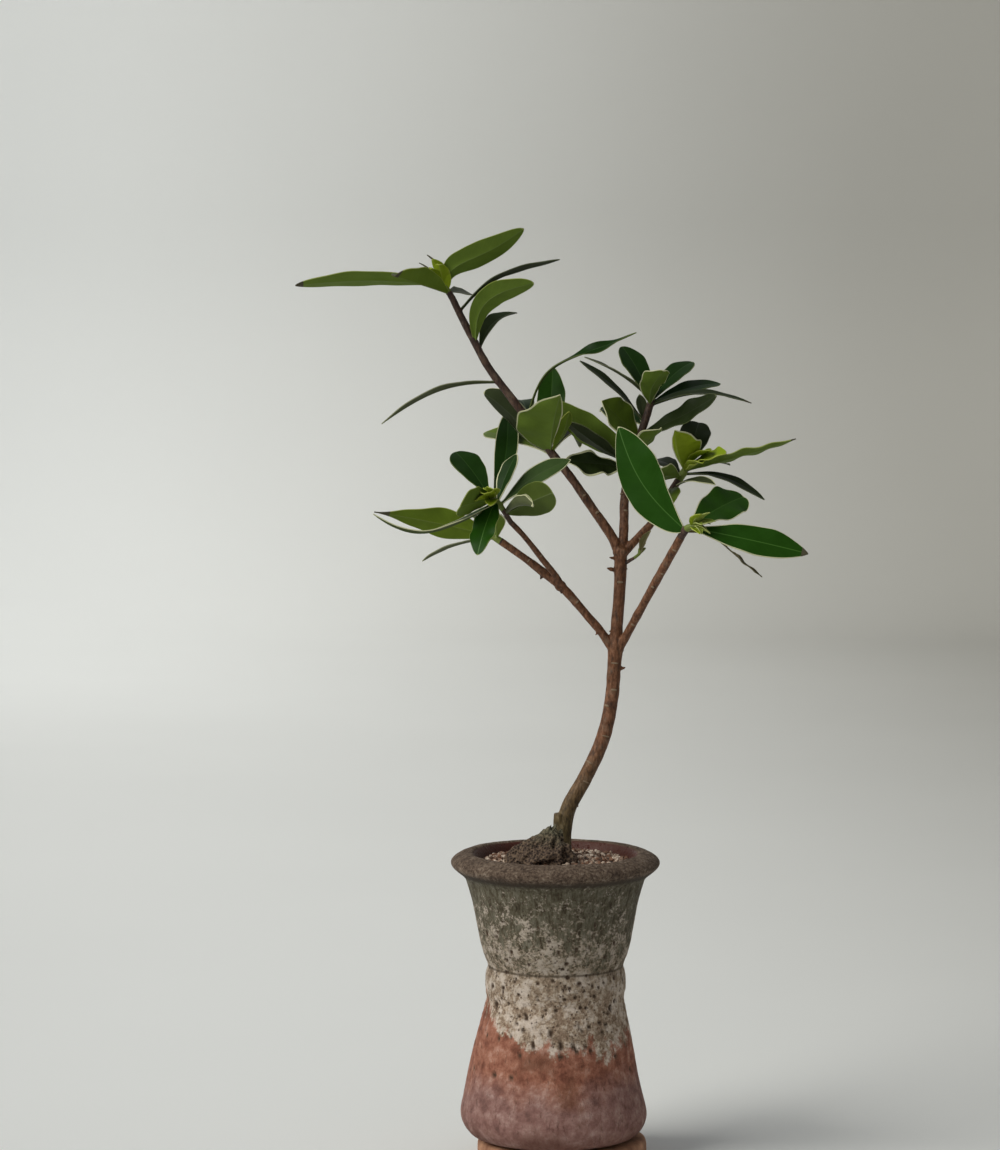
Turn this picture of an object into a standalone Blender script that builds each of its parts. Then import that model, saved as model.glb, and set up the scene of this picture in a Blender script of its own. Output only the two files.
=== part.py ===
"""A daphne shrub in its clay pot, standing on the pot's flat underside at the origin.

Metres, +Z up, the viewer at -Y. Sizes and places below are in millimetres and are turned into
metres by MM where a mesh or a curve is made. One object for each sub-part.
"""

import math
import random

import bmesh
import bpy
from mathutils import Quaternion, Vector, noise
from mathutils.bvhtree import BVHTree

MM = 0.001
UP = Vector((0.0, 0.0, 1.0))
SEED = 9
GAP = 0.3                    # air between two pieces that touch in the real plant
LIMB_GAP = 0.36              # the same, between two many-sided limbs

# Pot: radius and height of each bend, from the crest of the lip down its outer side.
TURN_STEPS = 44
POT_LIP = ((44.7, 164.6), (50.4, 163.0), (54.2, 160.8), (55.0, 159.0), (53.8, 156.8), (49.6, 153.2))
POT_NECK = ((46.4, 148.2), (44.2, 141.0), (41.6, 128.0), (39.8, 117.5), (37.7, 109.6))
POT_WAIST = ((35.6, 104.6), (36.8, 99.6), (36.8, 91.6), (36.2, 87.5))
POT_BELLY = ((38.0, 79.0), (42.5, 57.6), (46.4, 40.4), (49.2, 28.0), (48.8, 22.4), (46.2, 17.4))
POT_BASE_RADIUS = 42.0
POT_BASE_HEIGHT = 13.3
POT_FLOOR_HEIGHT = 20.0
# The inside of the wall, from the floor up to the lip.
POT_INSIDE = ((40.0, 20.0), (43.4, 27.0), (40.6, 42.0), (33.4, 76.0), (31.2, 90.0), (31.2, 104.0),
              (34.6, 122.0), (38.0, 142.0), (39.8, 157.0), (41.6, 162.0))

FOOT_RADIUS = 44.9
FOOT_CENTRE = Vector((3.7, 0.0, 0.0))
FOOT_HEIGHT = POT_BASE_HEIGHT - GAP
FOOT_EDGE = 2.6

# Grit: level where the trunk and the stone stand, lower against the wall.
GROUND = 161.0
GRIT_FLAT_RADIUS = 24.0
GRIT_EDGE_HEIGHT = 158.6
GRIT_WALL_GAP = 0.5

STONE_CENTRE = Vector((-8.4, -15.0, 163.6))
STONE_SIZE = Vector((36.0, 25.0, 31.0))
STONE_LEAN = 0.38            # how far its top leans to the trunk, as a share of its height
STONE_NARROWING = 1.25       # how much narrower it is at the top
STONE_ROUGHNESS = 0.35
STONE_GRAIN = 5.5            # lumps across the stone

# Limbs: x, y, z and radius at each bend, from the end that the limb grows from.
TRUNK = ((3.4, 3.0, 157.0, 6.4), (3.6, 3.0, 163.5, 5.1), (4.3, 3.0, 176.0, 4.6), (7.3, 3.0, 188.0, 4.2),
         (15.6, 2.0, 203.3, 3.9), (25.0, 0.0, 224.7, 3.8), (29.4, -1.0, 246.0, 3.6),
         (30.9, -2.0, 266.0, 3.7), (31.4, -2.0, 273.0, 4.0), (32.0, -2.0, 284.0, 3.2),
         (33.4, -1.0, 302.0, 3.1), (34.0, 0.0, 317.0, 3.4), (34.1, 0.0, 324.8, 3.8))
STUB = ((5.0, 3.0, 168.0, 2.8), (2.0, 2.2, 178.0, 2.9), (1.4, 2.0, 186.2, 2.5))

LOW_LEFT_BOUGH = ((31.4, -2.0, 270.0, 2.5), (23.6, -3.0, 281.2, 2.4), (17.0, -4.0, 289.1, 2.2),
                  (3.2, -5.0, 304.8, 2.4), (-7.9, -3.0, 313.4, 2.4), (-16.9, 0.0, 320.0, 1.9),
                  (-28.2, 3.0, 327.7, 1.9))
LOW_LEFT_SIDE_BOUGH = ((3.6, -5.0, 305.0, 1.6), (-0.1, -7.4, 310.9, 1.8), (-5.7, -10.4, 318.0, 1.6),
                       (-15.9, -16.0, 331.4, 1.5), (-23.4, -19.0, 339.6, 1.5))
LOW_RIGHT_BOUGH = ((31.8, -2.0, 269.0, 2.3), (38.3, -8.0, 282.4, 2.2), (44.9, -19.0, 296.4, 2.2),
                   (54.6, -32.0, 316.1, 2.3), (63.6, -43.0, 334.2, 2.2))
CENTRE_BOUGH = ((34.3, 0.0, 320.5, 2.5), (35.6, 3.0, 331.0, 2.5), (36.1, 9.6, 348.0, 2.4),
                (37.6, 14.0, 358.5, 2.4))
UPPER_LEFT_BOUGH = ((33.6, 0.0, 320.5, 2.7), (29.6, 0.8, 330.2, 2.6), (17.6, 3.0, 347.7, 2.4),
                    (8.4, 5.0, 360.9, 2.3), (1.5, 6.0, 369.5, 2.3))
UPPER_RIGHT_BOUGH = ((34.1, 0.0, 320.0, 2.2), (39.0, 1.0, 325.8, 2.2), (50.7, 6.0, 338.1, 2.1),
                     (61.2, 12.0, 354.4, 2.0))
TOP_LEFT_BOUGH = ((-21.6, 11.6, 400.6, 2.2), (-26.6, 12.0, 407.2, 2.1))

# Sprays. "stem" holds the bends after the end that it grows on from. Each leaf is its place along
# the stem (0 to 1), its reach from root to tip (x, y, z), its width, its arch as a share of its
# length, and its roll about its own line in degrees. "bud" is the count and the length of the
# young leaves at the tip.
MIDDLE_SPRAY = {
    "stem": ((-2.4, 7.0, 374.6, 2.4), (-10.8, 9.0, 387.1, 2.2), (-17.8, 11.0, 395.7, 2.2)),
    "bud": (0, 0.0),
    "leaves": (
        (0.20, (-38, 30, 30), 15, 0.03, 78),
        (0.22, (-6, -35, 31), 24, -0.08, 0),
        (0.86, (57, -3, 45), 12, 0.10, -8),
        (0.24, (2, 19, 43), 14, 0.05, 0),
        (0.84, (10, 41, 0), 12, 0.08, 0),
        (0.18, (16, 37, 7), 14, 0.14, 10),
        (0.16, (-37, 15, 6), 14, 0.08, -20),
    ),
}
TOP_LEFT_SPRAY = {
    "stem": ((-34.6, 12.0, 417.8, 2.1), (-42.1, 12.0, 431.2, 2.0), (-49.9, 12.0, 446.2, 1.9),
             (-56.2, 12.0, 458.4, 1.8), (-64.2, 11.2, 465.6, 1.2)),
    "bud": (5, 12.0),
    "leaves": (
        (0.08, (-60, -8, -21), 13, 0.09, 6),
        (0.35, (20, 34, 18), 11, 0.06, 0),
        (0.41, (29, -20, 33), 17, 0.12, -15),
        (0.68, (52, 8, 25), 14, 0.13, -8),
        (0.83, (-80, -10, 4), 16, 0.05, 33),
        (0.84, (-27, -47, 14), 17, -0.03, 15),
        (0.85, (12, 43, -5), 11, 0.10, 0),
        (0.88, (41, -10, 31), 14, -0.02, -33),
        (0.92, (-7, -6, 16), 6, 0.10, 10),
    ),
}
TOP_RIGHT_SPRAY = {
    "stem": ((39.3, 17.0, 368.8, 2.3), (46.0, 21.0, 386.5, 2.1), (50.5, 24.0, 400.1, 1.9),
             (51.6, 24.4, 404.6, 1.4)),
    "bud": (4, 8.0),
    "leaves": (
        (0.20, (-35, 13, 25), 12, 0.08, -25),
        (0.16, (-30, -21, 1), 15, 0.00, -35),
        (0.28, (-40, -10, 35), 14, 0.03, 25),
        (0.36, (6, -41, 13), 18, 0.10, 0),
        (0.54, (39, -17, 21), 14, -0.06, 42),
        (0.56, (-25, -35, 14), 22, 0.06, 10),
        (0.64, (-21, 38, 8), 14, 0.04, -20),
        (0.66, (-2, 11, 15), 5, 0.05, 0),
        (0.68, (-33, 7, 32), 9, 0.09, -9),
        (0.92, (-15, 18, 28), 14, 0.06, -10),
        (0.91, (23, 26, 20), 12, 0.08, 15),
        (0.88, (4, -32, 20), 14, 0.06, 0),
        (0.90, (37, 16, 9), 12, 0.06, 15),
        (0.88, (52, -6, 1), 11, 0.09, 0),
        (0.94, (-36, -27, 22), 10, 0.08, 0),
    ),
}
RIGHT_SPRAY = {
    "stem": ((67.0, 13.6, 363.0, 2.1), (69.4, 14.0, 367.6, 1.6)),
    "bud": (3, 12.0),
    "leaves": (
        (0.55, (-16, -27, 4), 16, 0.08, 30),
        (0.60, (-15, 29, 6), 12, 0.08, -10),
        (0.18, (16, -30, -1), 12, 0.20, 10),
        (0.25, (0, -30, -7), 12, 0.08, 20),
        (0.90, (6, 30, 22), 16, 0.06, 0),
        (0.78, (4, -30, 20), 14, 0.06, 0),
        (0.82, (56, -16, 16), 12, -0.02, -18),
        (0.72, (26, 31, 2), 11, 0.08, 10),
        (0.68, (42, -13, -13), 11, 0.08, 15),
    ),
}
LOW_RIGHT_SPRAY = {
    "stem": ((67.0, -47.8, 339.2, 2.0), (71.0, -50.6, 340.2, 1.3)),
    "bud": (5, 10.0),
    "leaves": (
        (0.40, (-34, 18, 52), 25, 0.06, -85),
        (0.60, (30, 27, 14), 21, 0.05, 35),
        (0.60, (60, -5, -13), 16, 0.02, 58),
        (0.38, (46, 38, -25), 9, 0.04, 0),
    ),
}
LOW_LEFT_FRONT_SPRAY = {
    "stem": ((-28.6, -22.0, 347.8, 1.5), (-35.0, -25.0, 353.4, 1.3)),
    "bud": (5, 8.0),
    "leaves": (
        (0.95, (-18, 30, 21), 15, 0.05, -15),
        (0.80, (10, 46, 43), 14, 0.04, 0),
        (0.68, (10, 24, 25), 11, 0.05, 0),
        (0.60, (37, 11, 23), 13, 0.06, 40),
        (0.30, (28, -32, 9), 18, 0.06, -60),
        (0.32, (13, -39, 7), 12, 0.14, 0),
        (0.76, (-7, -19, -24), 10, 0.05, 0),
        (0.72, (-59, -11, -4), 12, -0.19, 0),
        (0.84, (-15, -33, 4), 17, 0.04, 50),
    ),
}
LOW_LEFT_REAR_SPRAY = {
    "stem": ((-35.1, 4.0, 331.9, 1.6),),
    "bud": (3, 8.0),
    "leaves": (
        (0.80, (-56, -7, 13), 16, 0.06, 62),
        (0.60, (-36, 31, -15), 11, 0.06, 0),
        (0.35, (-1, -15, 15), 9, 0.06, 0),
        (0.70, (-8, 47, 7), 13, 0.08, 0),
    ),
}
SIDE_SPRIG = {
    "stem": ((34.2, -0.5, 315.6, 1.0), (38.6, -2.4, 318.4, 1.0), (42.3, -6.0, 321.1, 0.9),
             (46.3, -8.0, 325.2, 0.7)),
    "bud": (0, 0.0),
    "leaves": ((0.90, (5, -2, 10), 6, 0.12, 20),),
}

# Leaves: a blade that widens from its stalk to BROADEST of its length and folds up from its rib.
LEAF_STEPS = 8
YOUNG_LEAF_STEPS = 4
YOUNG_LEAF_LENGTH = 20.0
STALK_WIDTH = 1.8
TIP_WIDTH = 0.5
BROADEST = 0.62
BLUNTNESS = 0.8              # under 1: fuller towards the tip and the stalk
BLADE_FOLD = 0.16
BLADE_THICKNESS = 0.7
THICKNESS_SHARE = 0.0115
GOLDEN_ANGLE = math.radians(137.5)
YOUNG_WIDTH_SHARE = 0.36
YOUNG_SPREAD = (0.35, 0.8)   # how far they lean out from the twig
YOUNG_SHARE = (0.75, 1.0)    # their length, as a share of the longest
YOUNG_ARCH = 0.12
YOUNG_ROLL = 15


def clear_scene():
    """Removes every object that the file opens with."""
    for obj in list(bpy.data.objects):
        bpy.data.objects.remove(obj)


def linear(channel):
    """An sRGB channel as a linear one."""
    return channel / 12.92 if channel <= 0.04045 else ((channel + 0.055) / 1.055) ** 2.4


def material(name, colour, roughness):
    """A plain, non-metal surface of an sRGB hex colour."""
    made = bpy.data.materials.new(name)
    made.use_nodes = True
    surface = made.node_tree.nodes["Principled BSDF"]
    red, green, blue = (linear(int(colour[i:i + 2], 16) / 255) for i in (0, 2, 4))
    surface.inputs["Base Color"].default_value = (red, green, blue, 1.0)
    surface.inputs["Roughness"].default_value = roughness
    surface.inputs["Metallic"].default_value = 0.0
    return made


def collection(name):
    """A new collection in the scene."""
    made = bpy.data.collections.new(name)
    bpy.context.scene.collection.children.link(made)
    return made


def add_object(name, data, home, surface=None):
    """An object of a mesh or a curve, in one collection and with one material."""
    obj = bpy.data.objects.new(name, data)
    home.objects.link(obj)
    if surface:
        data.materials.append(surface)
    return obj


def freeze(obj):
    """Gives an object the mesh that its modifiers make, and takes the modifiers off."""
    bpy.context.view_layer.update()
    graph = bpy.context.evaluated_depsgraph_get()
    made = bpy.data.meshes.new_from_object(obj.evaluated_get(graph))
    obj.modifiers.clear()
    obj.data = made


def keep_main_piece(obj):
    """Drops the loose scraps that a Boolean can leave beside the main piece."""
    bm = bmesh.new()
    bm.from_mesh(obj.data)
    unseen = set(bm.verts)
    islands = []
    while unseen:
        island = {unseen.pop()}
        edge_of_island = list(island)
        while edge_of_island:
            vert = edge_of_island.pop()
            near = {edge.other_vert(vert) for edge in vert.link_edges} & unseen
            unseen -= near
            island |= near
            edge_of_island.extend(near)
        islands.append(island)
    main = max(islands, key=len)
    scraps = [vert for vert in bm.verts if vert not in main]
    bmesh.ops.delete(bm, geom=scraps, context="VERTS")
    bm.to_mesh(obj.data)
    bm.free()


def boolean(obj, operation, other=None, group=None):
    """Cuts or joins an object with another object, or with a whole collection, for good."""
    step = obj.modifiers.new(operation.lower(), "BOOLEAN")
    step.operation = operation
    if group:
        step.operand_type = "COLLECTION"
        step.collection = group
    else:
        step.object = other
    freeze(obj)


def turned(name, profile, home, surface):
    """A solid turned about +Z from a profile of (radius, height), its outer side running down."""
    mesh = bpy.data.meshes.new(name)
    rings = [(radius * MM, 0.0, height * MM) for radius, height in profile]
    mesh.from_pydata(rings, [(i, i + 1) for i in range(len(rings) - 1)], [])
    obj = add_object(name, mesh, home, surface)
    screw = obj.modifiers.new("turn", "SCREW")
    screw.steps = TURN_STEPS
    screw.render_steps = TURN_STEPS
    screw.use_merge_vertices = True
    screw.merge_threshold = 0.00001
    screw.use_smooth_shade = True
    return obj


def curve_through(knots, spacing):
    """Points of (x, y, z, radius) along a smooth line through knots of the same four numbers."""
    knots = [Vector(knot) for knot in knots]
    places = [knot.xyz for knot in knots]
    before = [places[0], *places[:-1]]
    after = [*places[1:], places[-1]]
    headings = [(b - a).normalized() for a, b in zip(before, after)]
    points = []
    for i in range(len(knots) - 1):
        start, end = places[i], places[i + 1]
        span = (end - start).length
        count = max(1, round(span / spacing))
        for step in range(count):
            t = step / count
            place = ((2 * t ** 3 - 3 * t ** 2 + 1) * start + (3 * t ** 2 - 2 * t ** 3) * end
                     + (t ** 3 - 2 * t ** 2 + t) * span * headings[i]
                     + (t ** 3 - t ** 2) * span * headings[i + 1])
            points.append(Vector((*place, knots[i].w * (1 - t) + knots[i + 1].w * t)))
    return [*points, knots[-1]]


def limb(name, knots, home, surface=None, swell=0.0, spacing=6.0):
    """A tapering limb with flat ends through knots of (x, y, z, radius), as a closed mesh."""
    points = curve_through(knots, spacing)
    thickest = max(point.w for point in points) + swell
    curve = bpy.data.curves.new(name, "CURVE")
    curve.dimensions = "3D"
    curve.bevel_depth = thickest * MM
    curve.bevel_resolution = 2
    curve.use_fill_caps = True
    spline = curve.splines.new("POLY")
    spline.points.add(len(points) - 1)
    for point, at in zip(spline.points, points):
        point.co = (*(at.xyz * MM), 1.0)
        point.radius = (at.w + swell) / thickest
    pipe = add_object(name + "_line", curve, home)
    bpy.context.view_layer.update()
    graph = bpy.context.evaluated_depsgraph_get()
    mesh = bpy.data.meshes.new_from_object(pipe.evaluated_get(graph))
    bm = bmesh.new()
    bm.from_mesh(mesh)
    bmesh.ops.remove_doubles(bm, verts=bm.verts, dist=0.00001)
    bm.to_mesh(mesh)
    bm.free()
    made = add_object(name, mesh, home, surface)
    made.matrix_world = pipe.matrix_world
    bpy.data.objects.remove(pipe)
    return made


def branch(name, knots, clear_of, home, cutters, surface):
    """A limb that starts inside others: it is cut back to stand LIMB_GAP clear of them."""
    made = limb(name, knots, home, surface)
    for number, other in enumerate(clear_of):
        cutter = limb(f"{name}_clearance_{number}", other, cutters, swell=LIMB_GAP)
        boolean(made, "DIFFERENCE", other=cutter)
    keep_main_piece(made)
    return made


def grown_on(knots, parent):
    """The knots of a limb that grows straight on from its parent's tip, GAP clear of it."""
    points = curve_through(parent, spacing=6.0)
    tip = points[-1]
    onward = (tip.xyz - points[-2].xyz).normalized()
    start = tip.xyz + onward * GAP
    second = start + onward * 1.5
    return ((*start, tip.w), (*second, tip.w), *knots)


def place_along(knots, share):
    """The point at a share of a limb's length along its centre line."""
    points = [point.xyz for point in curve_through(knots, spacing=2.0)]
    left = share * sum((b - a).length for a, b in zip(points, points[1:]))
    for a, b in zip(points, points[1:]):
        run = (b - a).length
        if left <= run:
            return a.lerp(b, left / run)
        left -= run
    return points[-1]


def blade_width(t, width):
    """The full width of a blade at t of its length, from its stalk to its tip."""
    bend = math.log(0.5) / math.log(BROADEST)
    least = STALK_WIDTH + (TIP_WIDTH - STALK_WIDTH) * t
    swell = max(0.0, math.sin(math.pi * t ** bend))
    return max(least, width * swell ** BLUNTNESS)


def leaf(name, root, reach, width, arch, roll, home):
    """One closed leaf blade from root along reach, arched towards its upper side."""
    reach = Vector(reach)
    length = reach.length
    along = reach.normalized()
    side = along.cross(UP).normalized()
    side.rotate(Quaternion(along, math.radians(roll)))
    upper = side.cross(along)
    bm = bmesh.new()
    steps = LEAF_STEPS if length > YOUNG_LEAF_LENGTH else YOUNG_LEAF_STEPS
    bmesh.ops.create_grid(bm, x_segments=steps, y_segments=2, size=1.0)
    for vert in bm.verts:
        t = (vert.co.x + 1.0) / 2
        half = blade_width(t, width) / 2
        lift = arch * length * 4 * t * (1 - t) + BLADE_FOLD * half * abs(vert.co.y)
        vert.co = (root + reach * t + side * (half * vert.co.y) + upper * lift) * MM
    mesh = bpy.data.meshes.new(name)
    bm.to_mesh(mesh)
    bm.free()
    obj = add_object(name, mesh, home)
    skin = obj.modifiers.new("thickness", "SOLIDIFY")
    skin.thickness = max(BLADE_THICKNESS, THICKNESS_SHARE * length) * MM
    skin.offset = 0.0
    freeze(obj)
    return obj


def young_leaves(tip, onward, count, length, chance):
    """Rows of (root, reach, width, arch, roll) for the young leaves that spiral round a tip."""
    across = onward.cross(UP).normalized()
    rows = []
    for number in range(count):
        lean = across.copy()
        lean.rotate(Quaternion(onward, number * GOLDEN_ANGLE))
        reach = (onward + lean * chance.uniform(*YOUNG_SPREAD)).normalized()
        reach = reach * length * chance.uniform(*YOUNG_SHARE)
        roll = chance.uniform(-YOUNG_ROLL, YOUNG_ROLL)
        rows.append((tip - onward, reach, YOUNG_WIDTH_SHARE * length, YOUNG_ARCH, roll))
    return rows


def tree_of(obj, swell=0.0):
    """An overlap tree of an object's mesh, swollen by some millimetres along its normals."""
    bm = bmesh.new()
    bm.from_mesh(obj.data)
    bm.normal_update()
    for vert in bm.verts:
        vert.co += vert.normal * swell * MM
    tree = BVHTree.FromBMesh(bm)
    bm.free()
    return tree


def spray(name, rule, stem, stem_knots, taken):
    """Fuses a spray's leaves to its stem. A leaf that would touch another piece is left out."""
    chance = random.Random(f"{SEED} {name}")
    loose = collection(name + "_leaves")
    rows = [(place_along(stem_knots, share), *rest) for share, *rest in rule["leaves"]]
    points = curve_through(stem_knots, spacing=2.0)
    onward = (points[-1].xyz - points[-2].xyz).normalized()
    rows += young_leaves(points[-1].xyz, onward, *rule["bud"], chance)
    for number, row in enumerate(rows):
        blade = leaf(f"{name}_leaf_{number}", *row, loose)
        swollen = tree_of(blade, swell=LIMB_GAP)
        hit = [other for other, tree in taken.items() if other != name and swollen.overlap(tree)]
        if hit:
            print(f"{name}: leaf {number} would touch {hit}, so it is left out")
            bpy.data.objects.remove(blade)
    boolean(stem, "UNION", group=loose)
    for blade in list(loose.objects):
        bpy.data.objects.remove(blade)
    bpy.data.collections.remove(loose)
    keep_main_piece(stem)


def pot(home, surface):
    """The waisted pot: a thick wall with a rolled lip, and a solid floor."""
    outside = [*POT_LIP, *POT_NECK, *POT_WAIST, *POT_BELLY, (POT_BASE_RADIUS, POT_BASE_HEIGHT)]
    profile = [(0.0, POT_FLOOR_HEIGHT), *POT_INSIDE, *outside, (0.0, POT_BASE_HEIGHT)]
    return turned("pot", profile, home, surface)


def pot_foot(home, surface):
    """The low round foot, set a little off the pot's axis."""
    inner = FOOT_RADIUS - FOOT_EDGE
    profile = [(0.0, FOOT_HEIGHT), (inner, FOOT_HEIGHT), (FOOT_RADIUS, FOOT_HEIGHT - FOOT_EDGE),
               (FOOT_RADIUS, FOOT_EDGE), (inner, 0.0), (0.0, 0.0)]
    foot = turned("pot_foot", profile, home, surface)
    foot.location = FOOT_CENTRE * MM
    return foot


def grit(home, surface):
    """The fill of the pot, clear of the wall, with a flat middle."""
    wall = [(radius - GRIT_WALL_GAP, height) for radius, height in reversed(POT_INSIDE)
            if POT_FLOOR_HEIGHT < height < GRIT_EDGE_HEIGHT]
    top = [(0.0, GROUND), (GRIT_FLAT_RADIUS, GROUND), (wall[0][0], GRIT_EDGE_HEIGHT)]
    bottom = [(POT_INSIDE[0][0] - GRIT_WALL_GAP, POT_FLOOR_HEIGHT + GRIT_WALL_GAP),
              (0.0, POT_FLOOR_HEIGHT + GRIT_WALL_GAP)]
    return turned("grit", [*top, *wall, *bottom], home, surface)


def ground_cutter(cutters):
    """A block that ends GAP above the grit, for the flat foot of what stands on it."""
    bpy.ops.mesh.primitive_cube_add(size=0.1)
    block = bpy.context.object
    block.name = "ground_cutter"
    block.location.z = (GROUND + GAP) * MM - 0.05
    for home in list(block.users_collection):
        home.objects.unlink(block)
    cutters.objects.link(block)
    return block


def trunk(home, cutters, surface, ground):
    """The trunk from its flat cut at the grit to its upper fork, with the pruned stub fused on."""
    made = limb("trunk", TRUNK, home, surface)
    stub = limb("stub", STUB, cutters)
    boolean(made, "UNION", other=stub)
    bpy.data.objects.remove(stub)
    boolean(made, "DIFFERENCE", other=ground)
    return made


def lava_stone(home, cutters, surface, ground):
    """The rough stone that leans on the trunk's foot, flat where it lies on the grit."""
    bm = bmesh.new()
    bmesh.ops.create_icosphere(bm, subdivisions=3, radius=0.5)
    for vert in bm.verts:
        place = vert.co * (1.0 + STONE_ROUGHNESS * noise.noise(vert.co * STONE_GRAIN))
        rise = max(0.0, place.z)
        place.xy = place.xy * (1.0 - STONE_NARROWING * rise)
        place.x += STONE_LEAN * rise
        vert.co = (STONE_CENTRE + STONE_SIZE * place) * MM
    mesh = bpy.data.meshes.new("lava_stone")
    bm.to_mesh(mesh)
    bm.free()
    stone = add_object("lava_stone", mesh, home, surface)
    boolean(stone, "DIFFERENCE", other=ground)
    boolean(stone, "DIFFERENCE", other=limb("stone_clearance", TRUNK, cutters, swell=LIMB_GAP))
    keep_main_piece(stone)
    return stone


def plant(home, cutters, surface, leaf_surface, ground):
    """The trunk, its boughs and the sprays that grow on from them."""
    made = {"trunk": trunk(home, cutters, surface, ground)}
    starts_inside = (
        ("low_left_bough", LOW_LEFT_BOUGH, (TRUNK,)),
        ("low_left_side_bough", LOW_LEFT_SIDE_BOUGH, (LOW_LEFT_BOUGH,)),
        ("low_right_bough", LOW_RIGHT_BOUGH, (TRUNK, LOW_LEFT_BOUGH)),
        ("centre_bough", CENTRE_BOUGH, (TRUNK,)),
        ("upper_left_bough", UPPER_LEFT_BOUGH, (TRUNK, CENTRE_BOUGH)),
        ("upper_right_bough", UPPER_RIGHT_BOUGH, (TRUNK, CENTRE_BOUGH, UPPER_LEFT_BOUGH)),
    )
    for name, knots, clear_of in starts_inside:
        made[name] = branch(name, knots, clear_of, home, cutters, surface)

    middle = grown_on(MIDDLE_SPRAY["stem"], UPPER_LEFT_BOUGH)
    top_left_bough = grown_on(TOP_LEFT_BOUGH, middle)
    made["top_left_bough"] = limb("top_left_bough", top_left_bough, home, surface)
    sprays = (
        ("side_sprig", SIDE_SPRIG, SIDE_SPRIG["stem"]),
        ("low_right_spray", LOW_RIGHT_SPRAY, grown_on(LOW_RIGHT_SPRAY["stem"], LOW_RIGHT_BOUGH)),
        ("low_left_rear_spray", LOW_LEFT_REAR_SPRAY,
         grown_on(LOW_LEFT_REAR_SPRAY["stem"], LOW_LEFT_BOUGH)),
        ("low_left_front_spray", LOW_LEFT_FRONT_SPRAY,
         grown_on(LOW_LEFT_FRONT_SPRAY["stem"], LOW_LEFT_SIDE_BOUGH)),
        ("middle_spray", MIDDLE_SPRAY, middle),
        ("right_spray", RIGHT_SPRAY, grown_on(RIGHT_SPRAY["stem"], UPPER_RIGHT_BOUGH)),
        ("top_right_spray", TOP_RIGHT_SPRAY, grown_on(TOP_RIGHT_SPRAY["stem"], CENTRE_BOUGH)),
        ("top_left_spray", TOP_LEFT_SPRAY, grown_on(TOP_LEFT_SPRAY["stem"], top_left_bough)),
    )
    for name, rule, stem in sprays:
        if rule is SIDE_SPRIG:
            made[name] = branch(name, stem, (TRUNK,), home, cutters, leaf_surface)
        else:
            made[name] = limb(name, stem, home, leaf_surface)
    taken = {name: tree_of(obj) for name, obj in made.items()}
    for name, rule, stem in sprays:
        spray(name, rule, made[name], stem, taken)
        taken[name] = tree_of(made[name])


def main():
    """Builds every piece of the potted shrub."""
    clear_scene()
    home = collection("daphne_in_pot")
    cutters = collection("cutters")
    clay = material("fired_clay", "7A6A5C", 0.85)
    bark = material("bark", "6B4636", 0.7)
    foliage = material("foliage", "34502B", 0.45)
    pot(home, clay)
    pot_foot(home, material("foot_clay", "7B4A38", 0.85))
    grit(home, material("grit", "B7A793", 0.95))
    ground = ground_cutter(cutters)
    lava_stone(home, cutters, material("lava", "5E4A3F", 0.95), ground)
    plant(home, cutters, bark, foliage, ground)
    for cutter in cutters.objects:
        cutter.hide_render = True
        cutter.display_type = "WIRE"


main()
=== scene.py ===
"""A potted daphne shrub, dressed around its plain solids: bark, leaves, clay, grit and lava.

Sizes and places below are in millimetres and are turned into metres by MM where a mesh is made.
"""

import math
import random

import bpy
from mathutils import Matrix, Quaternion, Vector, kdtree, noise


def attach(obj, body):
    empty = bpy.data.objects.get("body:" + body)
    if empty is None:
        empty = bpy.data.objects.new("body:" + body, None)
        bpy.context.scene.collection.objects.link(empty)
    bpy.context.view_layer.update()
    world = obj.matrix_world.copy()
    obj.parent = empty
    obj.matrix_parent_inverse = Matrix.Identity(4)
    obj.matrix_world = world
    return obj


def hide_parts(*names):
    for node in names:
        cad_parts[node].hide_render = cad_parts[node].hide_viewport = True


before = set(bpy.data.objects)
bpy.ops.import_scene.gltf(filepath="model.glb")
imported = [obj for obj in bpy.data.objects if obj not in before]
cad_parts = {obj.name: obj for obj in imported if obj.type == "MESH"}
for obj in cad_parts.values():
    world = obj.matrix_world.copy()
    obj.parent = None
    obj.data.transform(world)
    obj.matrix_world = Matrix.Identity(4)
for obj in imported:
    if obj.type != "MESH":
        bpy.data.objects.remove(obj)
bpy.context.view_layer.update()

MM = 0.001
UP = Vector((0.0, 0.0, 1.0))
SEED = 9
GOLDEN_ANGLE = math.radians(137.5)

# Pot: radius and height of each bend, from the floor inside, over the lip and down the outside.
POT_TURNS = 90
POT_INSIDE = ((2, 20), (20, 20), (38, 20.4), (40.4, 24), (43, 30), (40.6, 42), (37, 59), (33.4, 76),
              (31.2, 90), (31.2, 104), (32.8, 113), (34.6, 122), (36.4, 132), (38, 142), (39, 150),
              (40, 157), (41.6, 161.8), (43.4, 164.4))
POT_LIP = ((46, 164.7), (50.4, 163.4), (53.6, 161.6), (55.1, 159.4), (54.6, 157.4), (52.2, 155.2),
           (49.4, 153), (47.6, 151.2), (46.9, 149.9), (46.6, 148.4))
POT_NECK = ((45.6, 145), (44.2, 140.4), (42.9, 134.4), (41.7, 128), (40.7, 122.4), (39.7, 117),
            (38.6, 112.8), (37.4, 109.4), (36.2, 106.6), (35.5, 104.8))
POT_WAIST = ((35.7, 103.4), (36.5, 101.4), (36.95, 98), (37, 94.6), (36.8, 91.2), (36.2, 88.8), (36.2, 87))
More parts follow.
